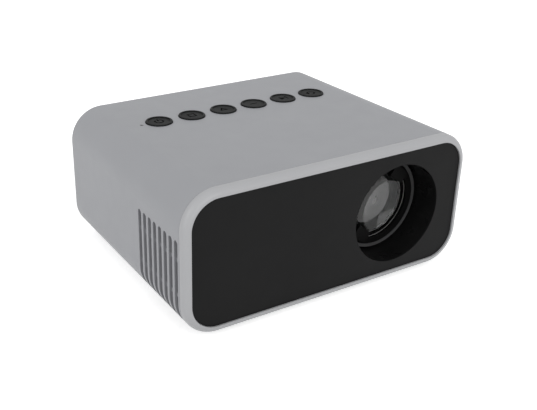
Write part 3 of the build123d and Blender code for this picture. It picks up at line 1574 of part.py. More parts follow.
# round leads to the fan, the loudspeaker and the lamp
lead_over_z = (engine_top_z + key_board_low) / 2 + fit_gap
fan_lead_z = lead_over_z
fan_lead_hump = 2.7
fan_lead_x = fan_right - 1.8
fan_lead_y = fan_y + fan_side / 2 - 3.0
floor_lead_z = floor_z + 2 * lead_radius
side_lead_x = -base_screw_x - 4.0
fan_lead = [
    (fan_lead_x, fan_lead_y, fan_z + fan_side / 2),
    (fan_lead_x, fan_lead_y, fan_lead_z),
    (fan_lead_x, engine_rear_y - 7.0, fan_lead_z),
    (fan_socket[0], lead_y, fan_lead_z + fan_lead_hump),
    (fan_socket[0], lead_y, fan_socket[1] + socket_size / 2),
]
speaker_lead = [
    (speaker_x - speaker_radius - speaker_lead_gap, speaker_y, floor_z + rim_height / 2),
    (side_lead_x, speaker_y + 4.0, floor_lead_z),
    (side_lead_x, engine_rear_y - 6.0, floor_lead_z),
    (speaker_socket[0], lead_y, floor_lead_z + 2.0),
    (speaker_socket[0], lead_y, speaker_socket[1] - socket_size / 2),
]
lamp_lead = [
    (engine_left + lamp_thickness, lamp_lead_y, lens_z + lamp_lead_up),
    (lamp_lead_x, lamp_lead_y, lens_z + lamp_lead_up),
    (lamp_lead_x, lamp_lead_y, lead_over_z),
    (lamp_socket[0], engine_rear_y - 6.0, lead_over_z),
    (lamp_socket[0], lead_y, lead_over_z),
    (lamp_socket[0], lead_y, lamp_socket[1] + socket_size / 2),
]


with BuildPart() as leads:
    for lead_name, lead_points in (("fan", fan_lead), ("speaker", speaker_lead), ("lamp", lamp_lead)):
        lead_radii = bend_radii(lead_points)
        print(lead_name, "lead bend radii", [round(radius, 2) for radius in lead_radii])
        with BuildLine() as lead_path:
            FilletPolyline(lead_points, radius=lead_radii)
        with BuildSketch(Plane(origin=lead_path.line @ 0, z_dir=lead_path.line % 0)):
            Circle(lead_radius)
        sweep(path=lead_path.line)
leads.part.label = "leads"
export_step(leads.part, "parts/leads.step")

# ---------------------------------------------------------------- screws, grouped by where they are driven


def screws(plane, places, shank_length, slot=False):
    """Pan-head screws standing on a plane: heads along its normal, shanks against it."""
    with BuildPart() as group:
        with BuildSketch(plane):
            with Locations(places):
                Circle(screw_head)
        extrude(amount=screw_head_height)
        with BuildSketch(plane):
            with Locations(places):
                Circle(screw_radius)
        extrude(amount=-shank_length)
        if slot:
            with BuildSketch(plane.offset(screw_head_height)):
                with Locations(places):
                    Rectangle(cross_length, cross_width)
                    Rectangle(cross_width, cross_length)
            extrude(amount=-cross_depth, mode=Mode.SUBTRACT)
    return group.part


base_screw_plane = Plane(origin=(0, 0, bottom_z + head_sink), x_dir=(1, 0, 0), z_dir=(0, 0, -1))
rear_screw_plane = Plane(origin=(0, panel_outer_y - head_sink, 0), x_dir=(-1, 0, 0), z_dir=(0, 1, 0))
post_shank = engine_inner_low - bottom_z - head_sink
with BuildPart() as case_screws:
    add(screws(base_screw_plane, turned_over(base_screw_places), base_boss_height - boss_end, slot=True))
    add(screws(base_screw_plane, turned_over(post_places), post_shank, slot=True))
    add(screws(rear_screw_plane, rear_screw_places, rear_boss_length - 2 * boss_end, slot=True))
case_screws.part.label = "case_screws"
export_step(case_screws.part, "parts/case_screws.step")

key_screw_plane = Plane(origin=(0, 0, key_board_low), x_dir=(1, 0, 0), z_dir=(0, 0, -1))
with BuildPart() as board_screws:
    add(screws(key_screw_plane, turned_over(key_boss_places), key_board_thickness + key_screw_length))
    add(screws(facing(board_front_y, 0, board_mid_z), board_boss_places, board_thickness + board_screw_length))
board_screws.part.label = "board_screws"
export_step(board_screws.part, "parts/board_screws.step")

sink_screw_plane = sideways(engine_left + engine_wall, engine_axis_y, lens_z)
sink_screw_places = four_places(sink_screw_y, sink_screw_z)
lamp_screw_plane = sideways(engine_left + lamp_thickness, engine_axis_y, lens_z)
lamp_screw_places = four_places(lamp_screw_offset, lamp_screw_offset)
flange_screw_plane = facing(engine_front_y - flange_thickness, lens_x, lens_z)
flange_screw_places = four_places(flange_screw_half, flange_screw_half)
with BuildPart() as engine_screws:
    add(screws(level(engine_top_z), lid_screw_places, engine_lid_thickness + lid_screw_length - boss_end))
    add(screws(sink_screw_plane, sink_screw_places, engine_wall + sink_base))
    add(screws(lamp_screw_plane, lamp_screw_places, lamp_thickness + sink_base))
    add(screws(flange_screw_plane, flange_screw_places, flange_thickness + engine_wall))
engine_screws.part.label = "engine_screws"
export_step(engine_screws.part, "parts/engine_screws.step")
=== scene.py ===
import math

import bmesh
import bpy
from mathutils import Matrix, Vector


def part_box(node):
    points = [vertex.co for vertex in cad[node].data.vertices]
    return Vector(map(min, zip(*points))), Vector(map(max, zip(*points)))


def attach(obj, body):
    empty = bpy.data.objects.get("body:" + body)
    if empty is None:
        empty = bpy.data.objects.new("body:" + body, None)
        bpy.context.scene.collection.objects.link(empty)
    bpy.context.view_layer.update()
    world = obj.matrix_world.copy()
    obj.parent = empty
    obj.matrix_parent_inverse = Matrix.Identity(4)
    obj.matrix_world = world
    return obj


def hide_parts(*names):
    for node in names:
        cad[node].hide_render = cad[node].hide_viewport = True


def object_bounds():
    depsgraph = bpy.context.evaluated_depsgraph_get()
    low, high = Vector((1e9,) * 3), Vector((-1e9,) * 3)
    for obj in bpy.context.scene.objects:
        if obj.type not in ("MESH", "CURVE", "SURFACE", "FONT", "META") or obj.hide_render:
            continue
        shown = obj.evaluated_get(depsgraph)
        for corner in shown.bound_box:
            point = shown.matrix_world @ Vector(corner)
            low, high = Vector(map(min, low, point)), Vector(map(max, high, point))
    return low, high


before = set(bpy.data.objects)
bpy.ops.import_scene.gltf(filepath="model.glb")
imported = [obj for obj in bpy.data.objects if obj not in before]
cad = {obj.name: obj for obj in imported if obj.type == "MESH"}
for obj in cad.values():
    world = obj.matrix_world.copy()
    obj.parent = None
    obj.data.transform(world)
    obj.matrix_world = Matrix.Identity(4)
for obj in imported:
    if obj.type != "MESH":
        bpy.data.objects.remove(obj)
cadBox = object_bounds()
print("frame loaded:", len(cad), "nodes")

# the camera stands where the photograph was taken from
view = {
    "photoWidth": 537,
    "photoHeight": 410,
    "place": (-0.175228, -0.259987, 0.168900),
    "azimuth": -0.5155,
    "elevation": 0.4226,
    "roll": -0.0019,
    "focal": 819.478,      # this and the centre are in pixels of the photograph
    "centreX": 203.03,
    "centreY": 185.87,
    "sensorWidth": 36,
    "clipNear": 0.01,
    "clipFar": 30,
}


def makeCamera():
    azimuth = view["azimuth"]
    elevation = view["elevation"]
    flat = math.cos(elevation)
    back = Vector((math.sin(azimuth) * flat, -math.cos(azimuth) * flat, math.sin(elevation)))
    right = (-back).cross(Vector((0, 0, 1))).normalized()
    up = right.cross(-back)
    turn = Matrix.Rotation(view["roll"], 3, back)
    right = turn @ right
    up = turn @ up
    lens = bpy.data.cameras.new("photoCamera")
    lens.sensor_fit = "HORIZONTAL"
    lens.sensor_width = view["sensorWidth"]
    lens.lens = view["focal"] * view["sensorWidth"] / view["photoWidth"]
    lens.shift_x = (view["photoWidth"] / 2 - view["centreX"]) / view["photoWidth"]
    lens.shift_y = (view["centreY"] - view["photoHeight"] / 2) / view["photoWidth"]
    lens.clip_start = view["clipNear"]
    lens.clip_end = view["clipFar"]
    camera = bpy.data.objects.new("photoCamera", lens)
    bpy.context.scene.collection.objects.link(camera)
    turned = Matrix((right, up, back)).transposed().to_4x4()
    camera.matrix_world = Matrix.Translation(view["place"]) @ turned
    bpy.context.scene.camera = camera


makeCamera()
print("camera placed")

# sockets of the shader whose value is the same all over a surface
socketNames = {
    "metallic": "Metallic",
    "specular": "Specular IOR Level",
    "ior": "IOR",
    "glass": "Transmission Weight",
    "coat": "Coat Weight",
    "coatRoughness": "Coat Roughness",
}


class Tree:
    # one material and the nodes that drive its shader
    def __init__(self, name):
        self.material = bpy.data.materials.new(name)
        self.material.use_nodes = True
        self.nodes = self.material.node_tree.nodes
        self.links = self.material.node_tree.links
        self.shader = self.nodes["Principled BSDF"]
        self.place = self.add("ShaderNodeTexCoord").outputs["Object"]

    def add(self, kind, **settings):
        node = self.nodes.new(kind)
        for key, value in settings.items():
            setattr(node, key, value)
        return node

    def feed(self, socket, value):
        # a socket takes a number, a colour or another node's output
        if isinstance(value, (int, float)):
            socket.default_value = value
        elif isinstance(value, tuple):
            socket.default_value = (*value, 1)
        else:
            self.links.new(value, socket)

    def noise(self, size, detail=3, stretch=None):
        # size is the width of one blotch in metres
        texture = self.add("ShaderNodeTexNoise")
        texture.inputs["Scale"].default_value = 1 / size
        texture.inputs["Detail"].default_value = detail
        if stretch is None:
            self.links.new(self.place, texture.inputs["Vector"])
        else:
            mapping = self.add("ShaderNodeMapping")
            mapping.inputs["Scale"].default_value = stretch
            self.links.new(self.place, mapping.inputs["Vector"])
            self.links.new(mapping.outputs["Vector"], texture.inputs["Vector"])
        return texture.outputs["Fac"]

    def spread(self, value, low, high, start=0.3, end=0.7, smooth=False):
        # start to end becomes low to high
        node = self.add("ShaderNodeMapRange")
        if smooth:
            node.interpolation_type = "SMOOTHSTEP"
        node.inputs["From Min"].default_value = start
        node.inputs["From Max"].default_value = end
        node.inputs["To Min"].default_value = low
        node.inputs["To Max"].default_value = high
        self.links.new(value, node.inputs["Value"])
        return node.outputs["Result"]

    def calculate(self, operation, first, second=0):
        node = self.add("ShaderNodeMath", operation=operation)
        self.feed(node.inputs[0], first)
        self.feed(node.inputs[1], second)
        return node.outputs["Value"]

    def axis(self, name):
        node = self.add("ShaderNodeSeparateXYZ")
        self.links.new(self.place, node.inputs["Vector"])
        return node.outputs[name]

    def mix(self, factor, first, second):
        node = self.add("ShaderNodeMix", data_type="RGBA")
        self.links.new(factor, node.inputs["Factor"])
        self.feed(node.inputs[6], first)      # inputs 6 and 7 and output 2 are its colour sockets
        self.feed(node.inputs[7], second)
        return node.outputs[2]

    def bump(self, height, depth):
        node = self.add("ShaderNodeBump")
        node.inputs["Strength"].default_value = 1
        node.inputs["Distance"].default_value = depth
        self.links.new(height, node.inputs["Height"])
        return node.outputs["Normal"]

    def drive(self, name, value):
        self.links.new(value, self.shader.inputs[name])

    def source(self, name):
        return self.shader.inputs[name].links[0].from_socket

    def fix(self, **values):
        for name, value in values.items():
            self.shader.inputs[socketNames[name]].default_value = value


def shade(color, share):
    return tuple(channel * share for channel in color)


plastic = {
    "driftSize": 0.03,
    "driftDetail": 4,
    "wearSize": 0.008,
    "wearDetail": 5,
    "grainDetail": 2,
}


def moulded(name, look):
    # moulded plastic: colour drifts a little over the part, fine spark-eroded grain, gloss that varies
    tree = Tree(name)
    drift = tree.noise(plastic["driftSize"], plastic["driftDetail"])
    darker = shade(look["color"], 1 - look["drift"])
    lighter = shade(look["color"], 1 + look["drift"])
    tree.drive("Base Color", tree.mix(tree.spread(drift, 0, 1), darker, lighter))
    worn = tree.noise(plastic["wearSize"], plastic["wearDetail"])
    smoother = look["roughness"] - look["spread"]
    rougher = look["roughness"] + look["spread"]
    tree.drive("Roughness", tree.spread(worn, smoother, rougher))
    grain = tree.noise(look["grainSize"], plastic["grainDetail"])
    tree.drive("Normal", tree.bump(grain, look["grainDepth"]))
    tree.fix(specular=look["specular"])
    return tree


shellLook = {
    "color": (0.316, 0.321, 0.338),
    "drift": 0.012,
    "roughness": 0.46,
    "spread": 0.03,
    "grainSize": 0.00035,
    "grainDepth": 0.000004,
    "specular": 0.25,
}
# the bezel is the shell's grey plastic, painted lighter as a highlight on its rounded front edge
bezelPaintedLitLook = {
    "color": (0.382, 0.385, 0.396),
    "drift": 0.012,
    "roughness": 0.38,
    "spread": 0.03,
    "grainSize": 0.00035,
    "grainDepth": 0.000003,
    "specular": 0.4,
}
blackLook = {
    "color": (0.02, 0.02, 0.0205),
    "drift": 0.08,
    "roughness": 0.6,
    "spread": 0.06,
    "grainSize": 0.0004,
    "grainDepth": 0.000008,
    "specular": 0.3,
}
holderLook = {
    "color": (0.05, 0.05, 0.051),
    "drift": 0.05,
    "roughness": 0.42,
    "spread": 0.04,
    "grainSize": 0.0003,
    "grainDepth": 0.000003,
    "specular": 0.5,
}
ringLook = {
    "color": (0.003, 0.003, 0.003),
    "drift": 0.12,
    "roughness": 0.5,
    "spread": 0.06,
    "grainSize": 0.0003,
    "grainDepth": 0.000003,
    "specular": 0.05,
}
rubberLook = {
    "color": (0.018, 0.018, 0.018),
    "drift": 0.15,
    "roughness": 0.82,
    "spread": 0.06,
    "grainSize": 0.0005,
    "grainDepth": 0.00002,
    "specular": 0.25,
}
socketLook = {
    "color": (0.72, 0.70, 0.63),
    "drift": 0.03,
    "roughness": 0.45,
    "spread": 0.05,
    "grainSize": 0.0005,
    "grainDepth": 0.000004,
    "specular": 0.5,
}
groundLook = {
    "color": (0.42, 0.42, 0.41),
    "drift": 0.06,
    "roughness": 0.8,
    "spread": 0.06,
    "grainSize": 0.00015,
    "grainDepth": 0.000006,
    "specular": 0.3,
}
chipLook = {
    "color": (0.022, 0.022, 0.023),
    "drift": 0.12,
    "roughness": 0.55,
    "spread": 0.06,
    "grainSize": 0.0002,
    "grainDepth": 0.000006,
    "specular": 0.5,
}
leadLook = {
    "color": (0.3, 0.02, 0.018),
    "drift": 0.08,
    "roughness": 0.42,
    "spread": 0.06,
    "grainSize": 0.0006,
    "grainDepth": 0.000005,
    "specular": 0.5,
}
ribbonLook = {
    "color": (0.52, 0.25, 0.05),
    "drift": 0.05,
    "roughness": 0.32,
    "spread": 0.05,
    "grainSize": 0.001,
    "grainDepth": 0.000004,
    "specular": 0.5,
}
panelLook = {
    "color": (0.0098, 0.0098, 0.0100),
    "drift": 0.06,
    "roughness": 0.5,
    "spread": 0.04,
    "grainSize": 0.0003,
    "grainDepth": 0.000003,
    "specular": 0.08,
    "faceEnd": 0.0009,      # this and the next are depths behind the front of the object
    "hoodStart": 0.0016,
    # the hood's painted shade colour
    "hoodShadeColor": (0.0065, 0.0065, 0.0066),
    "hoodSmoothest": 0.24,
    "hoodRoughest": 0.38,
    "hoodWearSize": 0.006,
    "hoodWearDetail": 4,
}


def panelFinish():
    # the face is satin, the hood behind it is glossier and painted darker as shade in the recess
    tree = moulded("panelBlack", panelLook)
    frontY = cadBox[0][1]
    faceEnd = frontY + panelLook["faceEnd"]
    hoodStart = frontY + panelLook["hoodStart"]
    behind = tree.spread(tree.axis("Y"), 0, 1, faceEnd, hoodStart, smooth=True)
    # painted shade: deeper than the face, the colour darkens to the hood's shade colour
    tree.drive("Base Color", tree.mix(behind, tree.source("Base Color"), panelLook["hoodShadeColor"]))
    worn = tree.noise(panelLook["hoodWearSize"], panelLook["hoodWearDetail"])
    hood = tree.spread(worn, panelLook["hoodSmoothest"], panelLook["hoodRoughest"])
    face = tree.calculate("MULTIPLY", tree.source("Roughness"), tree.calculate("SUBTRACT", 1, behind))
    tree.drive("Roughness", tree.calculate("ADD", face, tree.calculate("MULTIPLY", hood, behind)))
    return tree.material


keyLook = {
    "color": (0.0155, 0.016, 0.016),
    "drift": 0.05,
    "roughness": 0.55,
    "spread": 0.05,
    "grainSize": 0.00025,
    "grainDepth": 0.000004,
    "specular": 0.08,
    "dishDepth": 0.00035,
    "iconTop": (0.00004, 0.00012),      # depths below the dish over which an icon's colour comes in
    "iconFoot": (0.0004, 0.0006),      # and goes out again
    "iconShadeColor": (0.0015, 0.0015, 0.0015),
    "iconRoughness": 0.95,
}


def keyFinish():
    # soft-touch caps, their sunk icons duller and painted darker as shade in the recess
    tree = moulded("keyBlack", keyLook)
    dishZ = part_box("power_key")[1][2] - keyLook["dishDepth"]
    topStart, topEnd = keyLook["iconTop"]
    footStart, footEnd = keyLook["iconFoot"]
    sunk = tree.spread(tree.axis("Z"), 1, 0, dishZ - topEnd, dishZ - topStart)
    above = tree.spread(tree.axis("Z"), 0, 1, dishZ - footEnd, dishZ - footStart)
    icon = tree.calculate("MULTIPLY", sunk, above)
    # painted shade: the sunk icons are darkened by their depth below the dish
    tree.drive("Base Color", tree.mix(icon, tree.source("Base Color"), keyLook["iconShadeColor"]))
    dull = tree.calculate("MULTIPLY", icon, keyLook["iconRoughness"])
    tree.drive("Roughness", tree.calculate("MAXIMUM", tree.source("Roughness"), dull))
    return tree.material


metal = {
    "lineDetail": 4,
    "darkest": 0.86,
    "lightest": 1.06,
    "smoother": 0.08,
    "rougher": 0.1,
}
sinkLook = {
    "color": (0.66, 0.66, 0.68),
    "roughness": 0.34,
    "lineSize": 0.0004,
    "stretch": (1, 0.1, 1),
    "depth": 0.000006,
}
screwLook = {
    "color": (0.42, 0.42, 0.43),
    "roughness": 0.3,
    "lineSize": 0.0002,
    "stretch": (1, 1, 1),
    "depth": 0.000003,
}
portLook = {
    "color": (0.46, 0.46, 0.47),
    "roughness": 0.34,
    "lineSize": 0.0003,
    "stretch": (1, 0.15, 1),
    "depth": 0.000003,
}
insertLook = {
    "color": (0.72, 0.5, 0.2),
    "roughness": 0.3,
    "lineSize": 0.0002,
    "stretch": (1, 1, 6),
    "depth": 0.000005,
}
magnetLook = {
    "color": (0.16, 0.16, 0.165),
    "roughness": 0.5,
    "lineSize": 0.0005,
    "stretch": (1, 1, 0.3),
    "depth": 0.00001,
}


def metalFinish(name, look):
    # fine lines, which run along the axes with the smallest scale
    tree = Tree(name)
    lines = tree.noise(look["lineSize"], metal["lineDetail"], look["stretch"])
    darkest = shade(look["color"], metal["darkest"])
    lightest = shade(look["color"], metal["lightest"])
    tree.drive("Base Color", tree.mix(tree.spread(lines, 0, 1), darkest, lightest))
    smoothest = look["roughness"] - metal["smoother"]
    roughest = look["roughness"] + metal["rougher"]
    tree.drive("Roughness", tree.spread(lines, smoothest, roughest))
    tree.drive("Normal", tree.bump(lines, look["depth"]))
    tree.fix(metallic=1.0)
    return tree.material


clear = {
    "dustSize": 0.0015,
    "dustDetail": 6,
    "dustStart": 0.35,
    "dustEnd": 0.8,
    "cleanShare": 0.3,
    "tintSize": 0.02,
    "tintDetail": 2,
    "tintShare": 0.97,
}
lensLook = {"tint": (0.97, 0.98, 0.98), "haze": 0.02, "ior": 1.52}
plateLook = {"tint": (0.94, 0.96, 0.96), "haze": 0.12, "ior": 1.49}
pipeLook = {"tint": (0.9, 0.9, 0.9), "haze": 0.35, "ior": 1.49}


def glassFinish(name, look):
    # clear glass with a trace of dust in its gloss
    tree = Tree(name)
    dust = tree.noise(clear["dustSize"], clear["dustDetail"])
    clean = look["haze"] * clear["cleanShare"]
    tree.drive("Roughness", tree.spread(dust, clean, look["haze"], clear["dustStart"], clear["dustEnd"]))
    drift = tree.noise(clear["tintSize"], clear["tintDetail"])
    tree.drive("Base Color", tree.mix(drift, look["tint"], shade(look["tint"], clear["tintShare"])))
    tree.fix(glass=1.0, ior=look["ior"])
    return tree.material


boardLook = {
    "trackScale": 420,
    "trackGap": 0.06,
    "trackOffset": 0.35,
    "resist": (0.012, 0.10, 0.035),
    "resistLighter": (0.016, 0.13, 0.045),
    "copper": (0.03, 0.20, 0.075),
    "trackDepth": 0.00002,
    "padScale": 300,
    "padEdge": (0.12, 0.16),
    "tin": (0.62, 0.62, 0.6),
    "glossSize": 0.004,
    "smoothest": 0.28,
    "roughest": 0.42,
}


def boardFinish():
    # solder resist over straight copper tracks, with tinned pads
    tree = Tree("boardGreen")
    tracks = tree.add("ShaderNodeTexBrick", offset=boardLook["trackOffset"], squash=1.0)
    tracks.inputs["Scale"].default_value = boardLook["trackScale"]
    tracks.inputs["Mortar Size"].default_value = boardLook["trackGap"]
    tree.feed(tracks.inputs["Color1"], boardLook["resist"])
    tree.feed(tracks.inputs["Color2"], boardLook["resistLighter"])
    tree.feed(tracks.inputs["Mortar"], boardLook["copper"])
    turned = tree.add("ShaderNodeMapping")
    turned.inputs["Rotation"].default_value = (math.radians(90), 0, 0)
    tree.links.new(tree.place, turned.inputs["Vector"])
    tree.links.new(turned.outputs["Vector"], tracks.inputs["Vector"])
    pads = tree.add("ShaderNodeTexVoronoi", feature="F1")
    pads.inputs["Scale"].default_value = boardLook["padScale"]
    tree.links.new(tree.place, pads.inputs["Vector"])
    pad = tree.spread(pads.outputs["Distance"], 1, 0, *boardLook["padEdge"])
    tree.drive("Base Color", tree.mix(pad, tracks.outputs["Color"], boardLook["tin"]))
    tree.drive("Metallic", pad)
    gloss = tree.noise(boardLook["glossSize"])
    tree.drive("Roughness", tree.spread(gloss, boardLook["smoothest"], boardLook["roughest"]))
    tree.drive("Normal", tree.bump(tracks.outputs["Fac"], boardLook["trackDepth"]))
    return tree.material


filterLook = {
    "threadPitch": 0.0006,
    "threadEdge": (0.1, 0.6),
    "gapColor": (0.04, 0.04, 0.042),
    "threadColor": (0.11, 0.11, 0.115),
    "threadDepth": 0.00008,
    "wearSize": 0.001,
    "smoothest": 0.7,
    "roughest": 0.9,
}


def meshFinish():
    # woven dust mesh, fine square cells
    tree = Tree("filterMesh")
    wavesPerMetre = 2 * math.pi / filterLook["threadPitch"]
    threads = []
    for axis in ("Y", "Z"):
        along = tree.calculate("MULTIPLY", tree.axis(axis), wavesPerMetre)
        threads.append(tree.calculate("SINE", along))
    weave = tree.calculate("MAXIMUM", *threads)
    thread = tree.spread(weave, 0, 1, *filterLook["threadEdge"])
    tree.drive("Base Color", tree.mix(thread, filterLook["gapColor"], filterLook["threadColor"]))
    worn = tree.noise(filterLook["wearSize"])
    tree.drive("Roughness", tree.spread(worn, filterLook["smoothest"], filterLook["roughest"]))
    tree.drive("Normal", tree.bump(thread, filterLook["threadDepth"]))
    return tree.material


mirrorLook = {
    "smearSize": 0.01,
    "smearDetail": 4,
    "clean": (0.92, 0.92, 0.93),
    "smeared": (0.88, 0.88, 0.9),
    "smoothest": 0.01,
    "roughest": 0.05,
}


def mirrorFinish():
    tree = Tree("mirrorSilver")
    smear = tree.noise(mirrorLook["smearSize"], mirrorLook["smearDetail"])
    tree.drive("Roughness", tree.spread(smear, mirrorLook["smoothest"], mirrorLook["roughest"]))
    tree.drive("Base Color", tree.mix(smear, mirrorLook["clean"], mirrorLook["smeared"]))
    tree.fix(metallic=1.0)
    return tree.material


film = {
    "filmSize": 0.012,
    "darkest": 0.9,
    "lightest": 1.1,
    "glossSize": 0.002,
    "glossDetail": 4,
    "smoothShare": 0.7,
    "roughShare": 1.3,
    "specular": 0.25,
    "coat": 0.15,
    "coatRoughness": 0.08,
}
displayLook = {"color": (0.03, 0.035, 0.05), "roughness": 0.2}
windowLook = {"color": (0.03, 0.004, 0.006), "roughness": 0.15}


def filmFinish(name, look):
    # a thin glossy film over a dark sheet
    tree = Tree(name)
    drift = tree.spread(tree.noise(film["filmSize"]), 0, 1)
    darkest = shade(look["color"], film["darkest"])
    lightest = shade(look["color"], film["lightest"])
    tree.drive("Base Color", tree.mix(drift, darkest, lightest))
    gloss = tree.noise(film["glossSize"], film["glossDetail"])
    smoothest = look["roughness"] * film["smoothShare"]
    roughest = look["roughness"] * film["roughShare"]
    tree.drive("Roughness", tree.spread(gloss, smoothest, roughest))
    tree.fix(specular=film["specular"], coat=film["coat"], coatRoughness=film["coatRoughness"])
    return tree.material


phosphorLook = {
    "speckSize": 0.0004,
    "speckDetail": 4,
    "darkest": (0.75, 0.55, 0.06),
    "lightest": (0.9, 0.72, 0.14),
    "smoothest": 0.35,
    "roughest": 0.55,
    "depth": 0.00001,
}
paperLook = {
    "fibreSize": 0.0005,
    "fibreDetail": 6,
    "stretch": (1, 1, 3),
    "darkest": (0.03, 0.03, 0.03),
    "lightest": (0.055, 0.053, 0.05),
    "smoothest": 0.75,
    "roughest": 0.95,
    "depth": 0.00004,
}


def speckled(tree, grain, look):
    # colour, gloss and relief all follow one grain
    tree.drive("Base Color", tree.mix(tree.spread(grain, 0, 1), look["darkest"], look["lightest"]))
    tree.drive("Roughness", tree.spread(grain, look["smoothest"], look["roughest"]))
    tree.drive("Normal", tree.bump(grain, look["depth"]))
    return tree.material


def phosphorFinish():
    tree = Tree("phosphorYellow")
    speck = tree.noise(phosphorLook["speckSize"], phosphorLook["speckDetail"])
    return speckled(tree, speck, phosphorLook)


def paperFinish():
    tree = Tree("conePaper")
    fibre = tree.noise(paperLook["fibreSize"], paperLook["fibreDetail"], paperLook["stretch"])
    return speckled(tree, fibre, paperLook)


finishes = {
    "shell": moulded("shellGrey", shellLook).material,
    # the bezel's lighter grey is a painted highlight
    "bezel": moulded("bezelGreyPaintedLit", bezelPaintedLitLook).material,
    "panel": panelFinish(),
    "key": keyFinish(),
    "black": moulded("casingBlack", blackLook).material,
    "holder": moulded("holderGrey", holderLook).material,
    "ring": moulded("ringBlack", ringLook).material,
    "rubber": moulded("footRubber", rubberLook).material,
    "socket": moulded("socketCream", socketLook).material,
    "ground": moulded("groundRim", groundLook).material,
    "chip": moulded("chipBlack", chipLook).material,
    "lead": moulded("leadRed", leadLook).material,
    "ribbon": moulded("ribbonAmber", ribbonLook).material,
    "glass": glassFinish("lensGlass", lensLook),
    "plate": glassFinish("plateAcrylic", plateLook),
    "pipe": glassFinish("pipeAcrylic", pipeLook),
    "display": filmFinish("displayFilm", displayLook),
    "window": filmFinish("windowRed", windowLook),
    "board": boardFinish(),
    "mesh": meshFinish(),
    "mirror": mirrorFinish(),
    "phosphor": phosphorFinish(),
    "paper": paperFinish(),
    "alloy": metalFinish("sinkAlloy", sinkLook),
    "steel": metalFinish("screwSteel", screwLook),
    "port": metalFinish("portShell", portLook),
    "brass": metalFinish("insertBrass", insertLook),
    "magnet": metalFinish("magnetIron", magnetLook),
}
nodeFinishes = {
    "shell": ["housing"],
    "bezel": ["front_bezel"],
    "panel": ["front_panel"],
    "key": ["power_key", "menu_key", "up_key", "down_key", "play_key", "back_key"],
    "black": ["rear_panel", "base_cover", "engine_case", "engine_lid", "condenser_holder", "fan_frame",
              "fan_rotor", "speaker_basket", "ir_receiver", "glass_spacer"],
    "holder": ["lens_holder"],
    "ring": ["focus_ring", "lens_barrel", "lens_stop"],
    "rubber": ["feet"],
    "socket": ["board_sockets"],
    "chip": ["board_parts", "key_switches", "card_slot", "av_jack", "power_jack"],
    "lead": ["leads"],
    "ribbon": ["ribbons"],
    "glass": ["front_glass", "middle_glass", "rear_glass", "condenser_lens", "heat_glass"],
    "plate": ["front_fresnel", "rear_fresnel"],
    "pipe": ["light_pipe"],
    "display": ["lcd_panel"],
    "window": ["ir_window"],
    "board": ["main_board", "key_board"],
    "mesh": ["dust_filters"],
    "mirror": ["fold_mirror"],
    "phosphor": ["lamp_emitter"],
    "paper": ["speaker_cone"],
    "alloy": ["heat_sink", "lamp_board"],
    "steel": ["case_screws", "board_screws", "engine_screws", "focus_guide_screws", "cam_pins"],
    "port": ["hdmi_port", "usb_port"],
    "brass": ["tripod_insert"],
    "magnet": ["speaker_magnet"],
}
for finishName, nodeNames in nodeFinishes.items():
    for nodeName in nodeNames:
        slots = cad[nodeName].data.materials
        slots.clear()
        slots.append(finishes[finishName])
dressed = sum(len(names) for names in nodeFinishes.values())
print("finishes on", dressed, "of", len(cad), "nodes")

# the lens glass is turned smooth from each element's section
lensGlass = {
    "turnSteps": 128,
    "arcSteps": 20,
    "sharpAngle": 25,
    "weldDistance": 0.0000005,
    "rimTolerance": 0.000001,
    "elements": {      # a hollow face has a negative curve
        "front_glass": {"curve": 0.036, "land": 0.0003, "rearCurve": 0.060, "rearLand": 0.0027},
        "middle_glass": {"curve": -0.060, "land": 0.0017, "rearCurve": -0.060, "rearLand": 0.0017},
        "rear_glass": {"curve": 0.030, "land": 0.0017, "rearCurve": 0.090, "rearLand": 0.0017},
    },
}


def faceDepth(curve, radius):
    # how far a ground face has moved along Y from its apex at this radius
    return curve - math.copysign(math.sqrt(curve * curve - radius * radius), curve)


def groundFace(edgeY, curve, clear, side):
    # points from the apex to the edge of one face; side is 1 for the front face and -1 for the rear one
    apexY = edgeY - side * faceDepth(curve, clear)
    radii = [clear * step / lensGlass["arcSteps"] for step in range(lensGlass["arcSteps"] + 1)]
    return [(radius, apexY + side * faceDepth(curve, radius)) for radius in radii]


